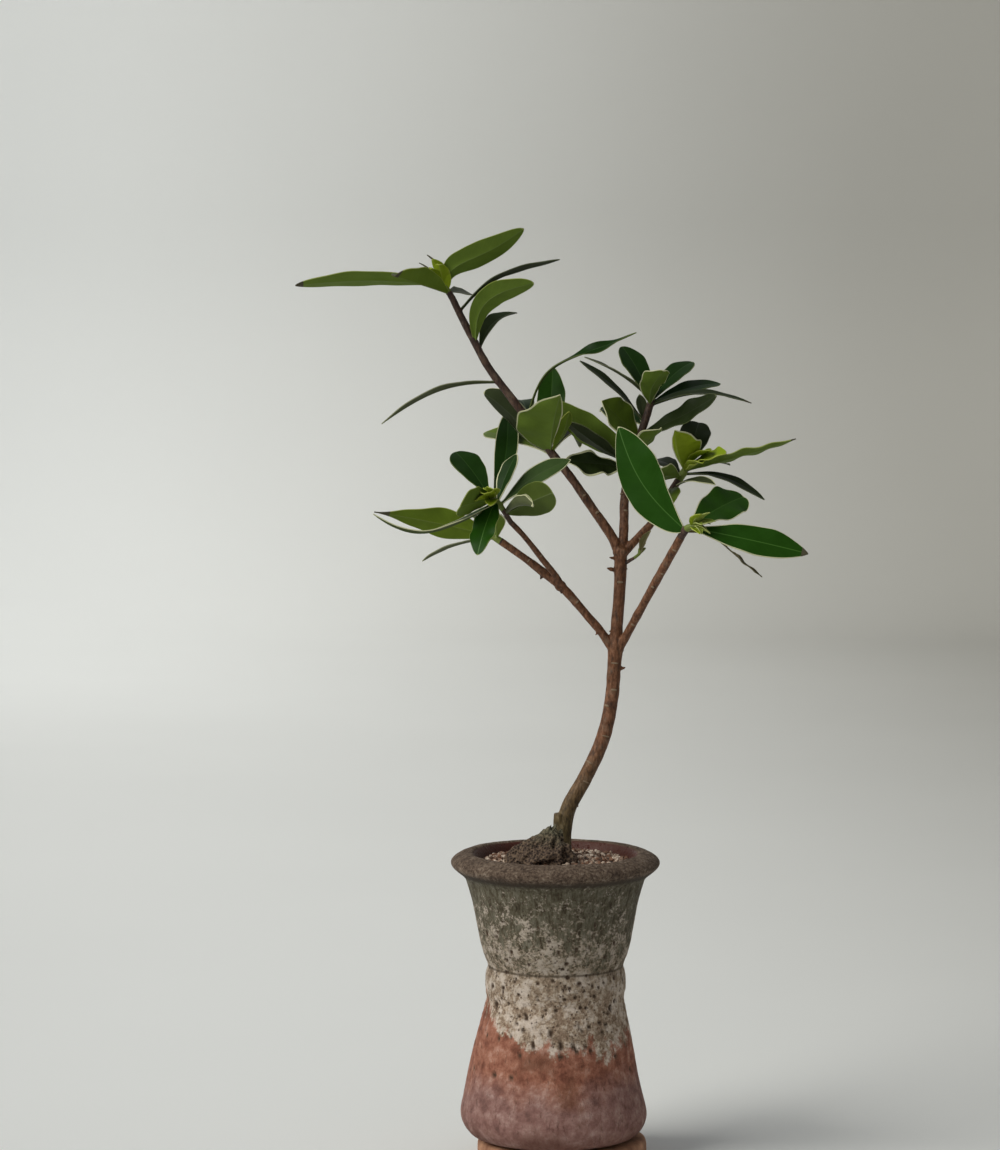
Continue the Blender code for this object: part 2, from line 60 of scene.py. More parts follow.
POT_BELLY = ((37, 83.2), (38.3, 78.4), (40, 70.8), (42, 61), (43.9, 51.8), (45.8, 43.2), (47.4, 36),
             (48.7, 30.6), (49.4, 26.8), (49.3, 23.8), (48.4, 20.6), (46.8, 17.8), (44.6, 15.4),
             (42.6, 14.1), (38, 13.5), (20, 13.4), (2, 13.4))
BELLY_LEAN = -1.3            # the belly sits this far to the left of the lip
CLAY_WOBBLE = 0.45           # thumb marks of the throwing
CRUST_RISE = 0.3             # how much the chalky crust stands up
CRUST_HEIGHT = 88.0          # where the crust is roughest
BELLY_HEIGHT = 45.0          # where the belly leans most
LIP_TOP = 164.0
POT_UNDERSIDE = 15.0
PIT_COUNT = 300
PIT_SIZES = (0.8, 0.9, 1.0, 1.1, 1.3, 1.6)
PIT_REACH = 1.15             # a pit's radius and depth, as shares of its size
PIT_DEPTH = 0.75
FOOT_PROFILE = ((2, 12.9), (30, 12.9), (41, 12.9), (43.6, 12.2), (44.7, 10.6), (44.9, 8), (44.9, 5),
                (44.6, 2.4), (43.4, 0.7), (41.4, 0), (30, 0), (2, 0))
FOOT_CENTRE = Vector((3.7, 0.0, 0.0))
# Heights, in metres, where a band of the skin starts and where it is full.
LIP_BAND = (0.1538, 0.1562)
NECK_BAND = (0.088, 0.112)
CRUST_BAND = (0.1025, 0.1080)
MAUVE_BAND = (0.078, 0.062)
BURNT_BAND = (0.052, 0.040)
OLD_BARK_BAND = (0.178, 0.223)
YOUNG_BARK_BAND = (0.332, 0.366)

GRIT_TOP = 161.0
GRIT_RADIUS = 39.4
GRIT_FLAT = 24.0             # how far out the grit lies level
GRIT_FALL = 2.2              # how much lower it lies at the wall
PEBBLE_COUNT = 1500
PEBBLE_SIZES = (1.3, 2.5)
PEBBLE_SHAPES = 6
# The dark and the pale tone of each sort of pumice grain, as sRGB.
GRIT_TONES = (("6E5548", "A48C7A"), ("8E7666", "CDBBA8"), ("4A3428", "7E6656"), ("A08A7A", "DDCFBF"),
              ("5C4030", "8E6A54"))

STONE_CENTRE = Vector((-8.4, -15.0, 163.6))
STONE_SIZE = Vector((36.0, 25.0, 31.0))
STONE_LEAN = 0.38
STONE_NARROWING = 1.25
STONE_ROUGHNESS = 0.35
STONE_GRAIN = 5.5
PORE_SPACING = 1.9
PORE_DEPTH = 0.75
PORE_REACH = 0.55

# Limbs: x, y, z and radius at each bend, from the end that the limb grows from.
TRUNK = ((3.4, 3, 159, 6.1), (3.6, 3, 163.5, 5.1), (4.3, 3, 176, 4.6), (7.3, 3, 188, 4.2),
         (15.6, 2, 203.3, 3.9), (25, 0, 224.7, 3.8), (29.4, -1, 246, 3.6), (30.9, -2, 266, 3.7),
         (31.4, -2, 273, 4), (32, -2, 284, 3.2), (33.4, -1, 302, 3.1), (34, 0, 317, 3.4),
         (34.1, 0, 324.8, 3.4))
STUB = ((5, 3, 168, 3), (2.4, 2.2, 177, 3.4), (2.2, 2, 184.6, 3))
BOUGHS = {
    "low_left": ((31.4, -2, 270, 2.5), (23.6, -3, 281.2, 2.4), (17, -4, 289.1, 2.2), (3.2, -5, 304.8, 2.4),
        (-7.9, -3, 313.4, 2.4), (-16.9, 0, 320, 1.9), (-28.2, 3, 327.7, 1.9)),
    "low_left_side": ((3.6, -5, 305, 1.6), (-0.1, -7.4, 310.9, 1.8), (-5.7, -10.4, 318, 1.6),
        (-15.9, -16, 331.4, 1.5), (-23.4, -19, 339.6, 1.5)),
    "low_right": ((31.8, -2, 269, 2.3), (38.3, -8, 282.4, 2.2), (44.9, -19, 296.4, 2.2),
        (54.6, -32, 316.1, 2.3), (63.6, -43, 334.2, 2.2)),
    "centre": ((34.3, 0, 320.5, 2.5), (35.6, 3, 331, 2.5), (36.1, 9.6, 348, 2.4), (37.6, 14, 358.5, 2.4)),
    "upper_left": ((33.6, 0, 320.5, 2.7), (29.6, 0.8, 330.2, 2.6), (17.6, 3, 347.7, 2.4),
        (8.4, 5, 360.9, 2.3), (1.5, 6, 369.5, 2.3)),
    "upper_right": ((34.1, 0, 320, 2.2), (39, 1, 325.8, 2.2), (50.7, 6, 338.1, 2.1), (61.2, 12, 354.4, 2)),
}
TOP_LEFT_BOUGH = ((-21.6, 11.6, 400.6, 2.2), (-26.6, 12, 407.2, 2.1))
# Swollen forks: name, centre and radii.
FORK_KNOTS = (
    ("fork_knot", (31.5, -2, 272.2), (4.5, 4.1, 4)),
    ("upper_knot", (34, 0, 322.6), (4.3, 3.9, 3.4)),
    ("bough_knot", (2.4, -5.2, 305.4), (3.2, 2.8, 3)),
)
# Spurs and buds on the bare wood: root, reach and thickness.
SPUR_TIP = 0.35
SPURS = (
    ((31.4, 0, 319.2), (-3.6, -1.4, 0.8), 0.8),
    ((30.9, 0, 313.2), (-4.2, -1.6, 1.2), 1.1),
    ((33.2, -2, 261.4), (3.4, -1, 0.9), 1),
    ((22.2, -3, 281), (-1.6, -0.8, -1.8), 0.7),
    ((-6.8, -3, 311), (-1.4, -1.2, -2.4), 0.8),
    ((3.4, -5, 303.4), (-0.6, -2.4, -1.8), 0.9),
)
# Pale leaf scars: the limb, the height of each, and how far round it lies from the front.
SCARS = (
    ("trunk", ((202, 20), (211.5, -35), (226.7, 15), (242.5, -40), (250.9, 10), (264.6, 0),
               (306.7, 0), (294, 160), (281, -120), (236, 130), (218, 200), (256, 215),
               (190, 110), (314, 100))),
    ("low_left", ((297, 20), (305, -30), (289, 140), (318, 10), (311, 190))),
    ("low_left_side", ((322, 30), (333, 200))),
    ("low_right", ((287, 0), (308, -10), (315, 20), (296, 150), (324, 190), (328, 10))),
    ("centre", ((343, 20), (334, 190), (352, -60))),
    ("upper_left", ((343, 25), (335, -160), (352, 10), (362, 170))),
    ("upper_right", ((330, 30), (341, 180), (350, -20))),
)

# The stem of each foliage mass: the bough it grows on, the share of its length from which it is green,
# the count, length and tone of the young leaves at its tip, and its knots.
STEMS = {
    "side_sprig": (None, 0.7, (0, 0, "young"), (34.2, -0.5, 315.6, 1), (38.6, -2.4, 318.4, 1),
        (42.3, -6, 321.1, 0.9), (46.3, -8, 325.2, 0.7)),
    "low_right_spray": ("low_right", 0.7, (5, 9, "pale"), (67, -47.8, 339.2, 1.8),
        (71, -50.6, 340.2, 1.2)),
    "low_left_rear_spray": ("low_left", 0.4, (3, 8, "olive"), (-35.1, 4, 331.9, 1.6)),
    "low_left_front_spray": ("low_left_side", 0.55, (8, 8, "young"), (-28.6, -22, 347.8, 1.5),
        (-35, -25, 353.4, 1.3)),
    "middle_spray": ("upper_left", 1.1, (0, 0, "young"), (-2.4, 7, 374.6, 2.4),
        (-10.8, 9, 387.1, 2.2), (-17.8, 11, 395.7, 2.2)),
    "right_spray": ("upper_right", 0.55, (4, 9, "young"), (67, 13.6, 363, 2.1),
        (69.4, 14, 367.6, 1.6)),
    "top_right_spray": ("centre", 0.97, (5, 8, "olive"), (39.3, 17, 368.8, 2.3),
        (46, 21, 386.5, 2.1), (50.5, 24, 400.1, 1.9), (51.6, 24.4, 404.6, 1.4)),
    "top_left_spray": ("top_left", 0.86, (5, 10, "young"), (-34.6, 12, 417.8, 2.1),
        (-42.1, 12, 431.2, 2), (-49.9, 12, 446.2, 1.9), (-56.2, 12, 458.4, 1.8),
        (-64.2, 11.2, 465.6, 1.2)),
}
# Its leaves: the place along the stem, the reach from root to tip, the width, the arch as a share of
# the length, the roll about its own line in degrees, the tone, and what is its own in shape.
SPOON = {"cup": 30, "blunt": 0.6}
BUD_LEAF = {"cup": 15, "blunt": 0.9, "broad": 0.5}
LEAVES = {
    "side_sprig": (
        (0.8, (5, -5, 12), 8, 0.06, 60, "brown", {"fold": 12, "blunt": 0.9, "broad": 0.4}),
        (0.7, (4, 3, 6), 4, 0.12, -20, "olive", {}),
    ),
    "low_right_spray": (
        (0.4, (-34, 18, 52), 25, 0, -80, "fresh", {"bow": (-4.7, 0, -2.9), "broad": 0.5, "lean": 0.11,
            "blunt": 0.74, "fold": 12, "halves": (1.12, 0.86), "rim": 0.4}),
        (0.6, (30, 27, 14), 22, 0.05, 35, "mid", {"wave": 0.12, "blunt": 0.56, "broad": 0.66, "rim": 0.5}),
        (0.6, (61, -5, -13), 17, 0.02, 58, "fresh", {"tip": 0.05, "broad": 0.6, "fold": 8, "rim": 0.4,
            "wave": 0.06}),
        (0.38, (42, 38, -27), 3, 0, 20, "brown", {"bow": (0, 0, 5), "sway": (0, 0, 1.5), "twist": 90,
            "wave": 0.5, "waves": 5}),
        (0.86, (8, -6, 7.5), 7, 0.05, 0, "pale", {"cup": 20, "blunt": 0.85, "broad": 0.5}),
        (0.86, (11, -4, 3), 6, 0.05, 20, "pale", BUD_LEAF),
        (0.8, (9, -6, -3), 6, 0.05, -20, "pale", BUD_LEAF),
        (0.8, (4, -8, 7), 7, 0.05, 0, "young", {"cup": 20, "blunt": 0.85, "broad": 0.5}),
        (0.76, (4, -8, -3), 5, 0.05, 0, "young", BUD_LEAF),
    ),
    "low_left_rear_spray": (
        (0.8, (-61, -7, 13), 17, 0.03, 62, "sunny", {"tip": 0.13, "broad": 0.42, "blunt": 1.4, "twist": -40,
            "wave": 0.08}),
        (0.6, (-38, 31, -15), 8, 0.05, 0, "dusky", {}),
        (0.35, (-1, -15, 15), 10, 0.06, 0, "olive", {"rim": 0.6}),
        (0.7, (-8, 47, 7), 13, 0.08, 0, "deep", {}),
    ),
    "low_left_front_spray": (
        (0.95, (-18, 30, 22), 16, 0.05, -15, "deep", {"blunt": 0.58, "broad": 0.66}),
        (0.8, (7.2, 65, 43), 12.5, 0, 0, "deep", {"bow": (2.4, 0, 0), "rim": 0.4, "blunt": 0.6}),
        (0.68, (10, 10, 25), 11, 0.05, 0, "deep", {"blunt": 0.66, "rim": 0.6}),
        (0.6, (37, 11, 23), 12, 0, 42, "sheen", {"bow": (0, 0, 3), "rim": 0.45}),
        (0.3, (24, -32, 13), 18, 0.05, -66, "mid", {"blunt": 0.52, "broad": 0.62}),
        (0.32, (14, -38, 6), 13, 0.06, 0, "dusky", {"fold": 25, "cup": 150, "rim": 0.7, "blunt": 0.5}),
        (0.76, (-9, -19, -26), 14, 0.05, 0, "fresh", {"wave": 0.14, "blunt": 0.6, "broad": 0.52}),
        (0.72, (-63, -11, -5), 12, 0, 8, "deep", {"bow": (0, 0, -11.6), "sway": (0.5, 0, 1.7),
            "broad": 0.38, "rim": 0.6, "twist": 20}),
        (0.84, (-17, -20, -2), 19, 0.04, 55, "olive", {"blunt": 0.52, "broad": 0.64}),
        (0.88, (-4, -15, 4), 9, 0.05, 0, "young", {"cup": 30, "blunt": 0.6, "wave": 0.15}),
        (0.9, (-8, -12, 0), 9, 0.05, 20, "young", SPOON),
        (0.9, (1, -12, 6), 8, 0.05, -10, "young", SPOON),
        (0.86, (-1, -14, -2), 7, 0.05, 0, "young", SPOON),
    ),
    "middle_spray": (
        (0.2, (-37, 20, 29), 18, 0, 66, "shade", {"bow": (1, 0, 1), "sway": (-1, 0, -1), "rim": 0.6,
            "blunt": 0.5, "cup": 25, "curl": 0.06}),
        (0.22, (4.6, -35, 31), 25, 0, 4, "olive", {"bow": (-1, 0, 0), "cup": 18, "broad": 0.5,
            "lean": -0.09, "blunt": 0.95, "halves": (1.55, 0.35), "rim": 0.8, "wave": 0.07}),
        (0.86, (57, -3, 45), 8, 0, 2, "deep", {"bow": (-8, 0, 8), "sway": (-2, 0, 2),
            "flare": (0.72, 46, 0.1), "wave": 0.1, "fold": 14, "broad": 0.7}),
        (0.24, (2, 19, 43), 15, 0.05, 0, "mid", {"wave": 0.05, "broad": 0.58}),
        (0.84, (-4, 41, 8), 12, 0.08, 0, "deep", {}),
        (0.18, (16, 37, 7), 15, 0.14, 10, "dusky", {"curl": -0.15, "cup": 60, "rim": 0.7}),
        (0.1, (-37, 46, 10.5), 15, 0.06, -24, "olive", {"broad": 0.72, "rim": 0.6}),
        (0.2, (9, -18, 22), 9, 0, 10, "sunny", {"bow": (1.5, 0, 0), "cup": 20}),
    ),
    "right_spray": (
        (0.55, (-17, -27, 1), 16, 0.04, 42, "olive", {"wave": 0.06, "rim": 0.5}),
        (0.6, (-15, 29, 6), 12, 0.08, -10, "shade", {}),
        (0.18, (20, -22, 2), 8, 0.1, 16, "dusky", {"rim": 0.5}),
        (0.1, (-3, -26, -8), 12, 0.08, 20, "olive", {}),
        (0.9, (8, 30, 22), 17, 0.06, 14, "shade", {"blunt": 0.6, "cup": 20}),
        (0.78, (-6.6, -30, 23), 17, 0, 2, "young", {"bow": (-1, 0, 0), "wave": 0.1, "blunt": 1,
            "broad": 0.54, "halves": (0.3, 1.5), "rim": 0.7, "cup": 16}),
        (0.82, (57, -16, 16), 12, 0, -20, "olive", {"wave": 0.12, "waves": 4, "tip": 0.03, "curl": 0.02,
            "broad": 0.42}),
        (0.72, (26, 31, 2), 11, 0.08, 10, "shade", {"tip": 0.05}),
        (0.68, (42, -13, -13), 9, 0, 16, "shade", {"bow": (0, 0, 4.8), "twist": 10}),
        (0.8, (20, -24, 10), 13, 0.04, 30, "young", {"blunt": 0.56, "wave": 0.12, "cup": 20}),
        (0.84, (12, -20, 11), 9, 0.06, 10, "young", SPOON),
        (0.8, (8, -22, 5), 8, 0.06, 0, "young", SPOON),
    ),
    "top_right_spray": (
        (0.2, (-35, -16, 24), 13, 0, 22, "shade", {"bow": (1, 0, -1.5), "wave": 0.06}),
        (0.16, (-34, -21, 5), 18, 0, -48, "shade", {"wave": 0.22, "waves": 2.6, "fold": 14, "rim": 1,
            "halves": (0.75, 1.15)}),
        (0.28, (-41, -10, 30), 19, 0, 48, "olive", {"bow": (-1, 0, -2.5), "blunt": 0.72, "broad": 0.52}),
        (0.22, (14.5, -22, 18.5), 19, 0, 12, "olive", {"wave": 0.14, "rim": 0.8, "blunt": 0.5, "cup": 20,
            "halves": (1.1, 0.75)}),
        (0.54, (39, -17, 21), 15, 0, 46, "shade", {"bow": (1, 0, -1), "wave": 0.1, "blunt": 0.62}),
        (0.5, (-20, -16, 20), 22, 0, -72, "sunny", {"fold": 10, "wave": 0.08, "rim": 0.7, "blunt": 0.9,
            "broad": 0.52}),
        (0.64, (-21, 38, 8), 15, 0.04, -20, "deep", {"wave": 0.2, "rim": 0.5}),
        (0.66, (-2, 11, 15), 6, 0.05, 0, "dusky", {}),
        (0.68, (-34, 7, 32), 9, 0, -12, "shade", {"bow": (1.5, 0, 1.5), "twist": -12}),
        (0.92, (-15, 18, 28), 15, 0.06, -10, "deep", {"blunt": 0.6, "broad": 0.64}),
        (0.91, (23, 26, 20), 13, 0.08, 15, "deep", {"blunt": 0.6, "broad": 0.64}),
        (0.88, (6, -32, 19), 15, 0, 0, "olive", {"bow": (-3, 0, 0), "cup": 25, "blunt": 0.56, "broad": 0.68,
            "rim": 0.6, "wave": 0.12}),
        (0.9, (38, 27, 9), 13, 0.05, 18, "deep", {"broad": 0.66, "blunt": 0.7}),
        (0.88, (53, -6, 1), 11, 0, 9, "shade", {"bow": (0, 0, 5.6), "tip": 0.06, "broad": 0.42,
            "wave": 0.06}),
        (0.94, (-36, -27, 23), 9, 0, -14, "dusky", {"bow": (2, 0, 1.5), "twist": -10}),
    ),
    "top_left_spray": (
        (0.08, (-61, -8, -22), 13, 0, 12, "dusky", {"bow": (0, 0, 6.5), "fold": 12}),
        (0.35, (20, 34, 19), 11, 0, 0, "shade", {"bow": (-3, 0, 4), "fold": 25, "tip": 0.07}),
        (0.41, (30.5, -20, 32), 15, 0, -38, "olive", {"bow": (-7.5, 0, 7.5), "sway": (-1, 0, 0.5),
            "broad": 0.62, "blunt": 0.56}),
        (0.68, (53, 8, 27), 12, 0, -16, "shade", {"bow": (-1.5, 0, 5.6), "sway": (-0.6, 0, 1)}),
        (0.93, (-75.2, -9.6, -0.7), 14.5, 0, 32, "olive", {"bow": (0, 0, 2.4), "blunt": 0.62, "broad": 0.54,
            "tip": 0.05}),
        (0.84, (-27, -47, 9), 19, 0, 14, "sunny", {"fold": 36, "blunt": 0.6, "tip": 0.05}),
        (0.85, (13, 30, -2.5), 11, 0.02, 24, "dusky", {}),
        (0.88, (41, -10, 31), 16, 0, -48, "olive", {"bow": (-9, 0, -1), "sway": (-1.2, 0, 1.6),
            "blunt": 0.62, "broad": 0.6}),
        (0.86, (-10.3, 8, 18.3), 5, 0, 30, "olive", {"bow": (2.4, 0, 0.8), "fold": 20, "tip": 0.2}),
        (0.86, (-7.3, -7, 16.3), 10, 0.04, 10, "young", {"cup": 34, "blunt": 0.66, "broad": 0.48}),
        (0.88, (-10, -9, 9), 8, 0.08, 30, "young", SPOON),
        (0.9, (-2, -9, 11.5), 8, 0.06, -10, "young", {"cup": 40, "blunt": 0.6}),
        (0.9, (-12.5, 4, 12.2), 2.4, 0.08, 0, "olive", {"tip": 0.4}),
    ),
}

# Leaves: a blade that widens from its stalk to "broad" of its length and folds up from its rib.
LEAF_ROWS = 44
YOUNG_ROWS = 12
YOUNG_LEAF_LENGTH = 20.0
YOUNG_LEAF_WIDTH = 8.0
YOUNG_LEAF = {"blunt": 0.9, "broad": 0.52, "fold": 16, "cup": 20}
GREEN_REACH = 3.0            # bark this near a green stretch's centre line is green
STALK_WIDTH = 1.7
TIP_WIDTH = 0.5
LEAF_SKIN = 0.45
RIB_WIDTH = 0.5
RIB_DEPTH = 0.9              # how far the rib stands out under the stalk end
RIB_SHARES = {0: 1.0, 1: 0.35}  # of that depth, by columns from the rib
CURL_FROM = 0.62             # the share of its length from which a blade curls
VEIN_SLANT = 0.34            # how far forward the side veins run
VEIN_PHASE = 82.0            # radians of side veins along a blade
# What a leaf has unless its row says otherwise. Angles are in degrees and run from the rib to the
# edge; "halves" are the shares of the two halves, "bow" and "sway" bend the rib in one arc and in
# two, "flare" turns the blade about one place, and "tip" is the withered share of its length.
PLAIN_LEAF = {"fold": 9.0, "cup": 0.0, "wave": 0.035, "waves": 3, "curl": 0.0, "twist": 0,
              "flare": (0.5, 0, 0.1), "bow": (0, 0, 0), "sway": (0, 0, 0), "halves": (1.0, 1.0),
              "blunt": 0.8, "broad": 0.62, "lean": 0.0, "tip": 0.0, "rim": 0.24}
WHITE_RIM = 0.40             # a rim as wide as this is cream, a narrower one only pale
MIDDLE = 5                   # the column of a blade's grid on its rib
STRIPS = ("margin", "blade", "blade", "blade", "rib", "rib", "blade", "blade", "blade", "margin")
KINDS = ("blade", "rib", "margin", "pale", "dry")
# Leaf tones, as sRGB: upper side, underside, rib above, rib below and pale margin.
TONES = {
    "deep": ("152F06", "3E4A1E", "22400E", "4E5A2E", "66743E"),
    "mid": ("1E3D06", "44521F", "2E5010", "586634", "76843E"),
    "fresh": ("1C4004", "44581A", "3C6420", "587234", "84924C"),
    "olive": ("566A24", "5F742A", "5A6E28", "687C34", "8A9646"),
    "sunny": ("52661A", "5A6E1C", "5A6E1E", "667828", "98A248"),
    "dusky": ("3A412A", "4C5236", "40472E", "585E44", "7E8260"),
    "shade": ("1F2A0E", "2C341C", "262F16", "363E26", "58603E"),
    "sheen": ("3A4E28", "46542C", "42542E", "56623A", "788458"),
    "brown": ("48452A", "5A5234", "4E4B30", "665E3E", "78704C"),
    "young": ("7A8E1A", "84961F", "84961F", "8E9E2C", "A2AE44"),
    "pale": ("788A34", "849240", "849240", "8C9A4A", "A2AC62"),
}
CREAM = "C6C79E"
DRY = "4E4A38"

# Bark streaks, dark to pale: at the trunk's foot, on the old wood and on the young wood.
FOOT_STREAKS = ((0.30, "2E2612"), (0.44, "4A3E24"), (0.56, "605233"), (0.72, "807254"))
OLD_STREAKS = ((0.28, "2E1A10"), (0.44, "59371F"), (0.56, "724A31"), (0.74, "946C52"))
YOUNG_STREAKS = ((0.28, "201511"), (0.44, "36251E"), (0.56, "4A342A"), (0.74, "66503F"))

# The room and the camera: metres and degrees.
WINDOW_FROM = (-1.0, -0.55, 0.75)
WINDOW_STRENGTH = 3.0
WINDOW_SOFTNESS = 46.0
SKY_STRENGTH = 0.32
WASHER_STRENGTH = 30.0       # watts
WASHER_PLACE = (-1.5, 1.4, 1.9)
WASHER_FROM = (-0.5, -1.8, 1.2)
FLOOR_RADIUS = 2.7
SWEEP_BEND = 0.5
SWEEP_STEPS = 12
WALL_RISE = 0.9
CAMERA_LENS = 125.217        # millimetres
CAMERA_PLACE = (-0.029105, -2.084087, 0.49296)
CAMERA_TILT = 85.0


def linear(colour):
    """A linear RGBA colour from sRGB hex."""
    channels = [int(colour[i:i + 2], 16) / 255 for i in (0, 2, 4)]
    return (*(c / 12.92 if c <= 0.04045 else ((c + 0.055) / 1.055) ** 2.4 for c in channels), 1.0)


# ---------------------------------------------------------------------------- materials


def plug(socket, value):
    """Links a socket to another one, or gives it a constant."""
    if isinstance(value, bpy.types.NodeSocket):
        socket.id_data.links.new(value, socket)
    else:
        socket.default_value = value


def add(tree, kind, settings, stops=()):
    """Adds a node: lower-case settings are its properties, the others its sockets."""
    node = tree.nodes.new("ShaderNode" + kind)
    sockets = {key: value for key, value in settings.items() if not str(key).islower()}
    for key in settings.keys() - sockets.keys():
        setattr(node, key, settings[key])
    for key, value in sockets.items():
        plug(node.inputs[key], value)
    for number, (at, colour) in enumerate(stops):
        ramp = node.color_ramp.elements
        stop = ramp[number] if number < 2 else ramp.new(at)
        stop.position = at
        stop.color = linear(colour)
    return node


def new_material(name):
    """A material and its Object coordinates."""
    made = bpy.data.materials.new(name)
    made.use_nodes = True
    return made, add(made.node_tree, "TexCoord", {}).outputs["Object"]


def finish_skin(base, roughness, gloss=0.5):
    """Gives the material its colour, its roughness and its specular level."""
    shader = base.id_data.nodes["Principled BSDF"].inputs
    plug(shader["Base Color"], base)
    plug(shader["Roughness"], roughness)
    plug(shader["Specular IOR Level"], gloss)


def bumped(height, strength, depth):
    """Roughens the skin by a height, over some millimetres of depth."""
    tree = height.id_data
    bump = add(tree, "Bump", {"Height": height, "Strength": strength, "Distance": depth * MM})
    plug(tree.nodes["Principled BSDF"].inputs["Normal"], bump.outputs[0])


def scaled(place, grain):
    """Coordinates in units of so many millimetres, or multiplied along each axis."""
    scale = [1 / (grain * MM)] * 3 if isinstance(grain, float) else grain
    return add(place.id_data, "Mapping", {"Vector": place, "Scale": scale}).outputs[0]


def cloud(place, grain, detail, roughness=0.5):
    """A noise of some grain."""
    return add(place.id_data, "TexNoise", {"Vector": scaled(place, grain), "Scale": 1.0, "Detail": detail,
                                           "Roughness": roughness}).outputs["Fac"]


def cells(place, grain):
    """The distance to the nearest of many scattered points, and a random colour for each."""
    node = add(place.id_data, "TexVoronoi", {"Vector": scaled(place, grain), "Scale": 1.0})
    return node.outputs["Distance"], node.outputs["Color"]


def split(place):
    """The three coordinates of a place."""
    return add(place.id_data, "SeparateXYZ", {"Vector": place}).outputs


def maths(operation, first, *others):
    """A sum of up to three numbers."""
    settings = {"operation": operation, **dict(enumerate((first, *others)))}
    return add(first.id_data, "Math", settings).outputs[0]


def spread(value, low, high, to_low=0.0, to_high=1.0, curve="LINEAR"):
    """A value taken from one range to another and held there."""
    settings = {"interpolation_type": curve, "Value": value, "From Min": low, "From Max": high,
                "To Min": to_low, "To Max": to_high}
    return add(value.id_data, "MapRange", settings).outputs[0]


def toned(factor, stops):
    """A row of colours read by a factor."""
    return add(factor.id_data, "ValToRGB", {"Fac": factor}, stops).outputs[0]


def mixed(factor, first, second):
    """One colour laid over another."""
    settings = {"data_type": "RGBA", 0: factor, 6: first, 7: second}
    return add(factor.id_data, "Mix", settings).outputs[2]


def stained(base, *stains):
    """Colours laid over a base: each where a value nears high, and never thicker than most."""
    for value, low, high, most, colour in stains:
        base = mixed(spread(value, low, high, 0.0, most), base, linear(colour))
    return base


def tinted(colour, gain, lift=0.0):
    """A colour made lighter or darker."""
    return [min(1.0, c * gain + lift) for c in linear(colour)[:3]] + [1.0]


def leaf_blade(name, colour, roughness, vein):
    """Waxy leaf skin: a leathery mottle, faint side veins and a soft sheen."""
    made, place = new_material(name)
    mottle = cloud(place, 9.0, 3.0)
    base = mixed(mottle, tinted(colour, 0.78), tinted(colour, 1.25, 0.004))
    # Side veins: stripes that run forward from the rib, read from the blade's UVs.
    uv = split(add(place.id_data, "UVMap", {"uv_map": "UVMap"}).outputs[0])
    off_rib = maths("ABSOLUTE", maths("SUBTRACT", uv["Y"], 0.5))
    slant = maths("MULTIPLY_ADD", off_rib, -VEIN_SLANT, uv["X"])
    stripes = maths("SINE", maths("MULTIPLY", slant, VEIN_PHASE))
    base = mixed(spread(stripes, 0.80, 1.0, 0.0, vein), base, tinted(colour, 1.5, 0.004))
    bumped(cloud(place, 0.9, 2.0), strength=0.12, depth=0.2)
    finish_skin(base, roughness, gloss=0.07)
    return made


def leaf_edge(name, colour, roughness):
    """A narrow band of a leaf in nearly one tone, with a little staining."""
    made, place = new_material(name)
    stain = cloud(place, 5.0, 2.0)
    finish_skin(mixed(stain, tinted(colour, 0.8), linear(colour)), roughness, gloss=0.2)
    return made


def smooth_bark(name, streaks):
    """Thin daphne bark: brown with fine grey streaks along the grain, olive near the ground."""
    made, place = new_material(name)
    grain = cloud(place, (760.0, 760.0, 260.0), 5.0, 0.65)
    height = split(place)["Z"]
    foot_tone = toned(grain, FOOT_STREAKS)
    base = mixed(spread(height, *OLD_BARK_BAND), foot_tone, toned(grain, streaks))
    crown = spread(height, *YOUNG_BARK_BAND, 0.0, 0.85)
    base = mixed(crown, base, toned(grain, YOUNG_STREAKS))
    patches = cloud(place, 6.0, 5.0, 0.6)
    base = stained(base, (patches, 0.54, 0.68, 0.25, "8C7E6C"), (patches, 0.44, 0.32, 0.55, "2E2018"))
    bumped(grain, strength=0.5, depth=0.4)
    finish_skin(base, roughness=0.6, gloss=0.35)
    return made


def plain_stone(name, dark, pale, grain, roughness):
    """A dry mineral skin: two tones dealt by a noise of some millimetres, and a fine rough grain."""
    made, place = new_material(name)
    tones = cloud(place, grain, 6.0, 0.65)
    bumped(tones, strength=0.6, depth=0.5)
    finish_skin(toned(tones, ((0.36, dark), (0.64, pale))), roughness)
    return made


def lava_material():
    """Scoria: dark brown froth with black pores, whose black is painted shade, greyed green by lichen on
    top.
    """
    made, place = new_material("scoria")
    froth, _ = cells(place, 1.3)
    # Painted shade: the pores are black at the centres of the cells.
    pores = toned(froth, ((0.14, "140D09"), (0.42, "43342A"), (0.80, "73604E")))
    lift = maths("MULTIPLY_ADD", cloud(place, 5.0, 4.0), 0.012, split(place)["Z"])
    lichen = mixed(froth, linear("3C3A2A"), linear("7A7860"))
    bumped(froth, strength=0.8, depth=0.8)
    finish_skin(mixed(spread(lift, 0.176, 0.186, 0.0, 0.75), pores, lichen), roughness=0.95)
    return made


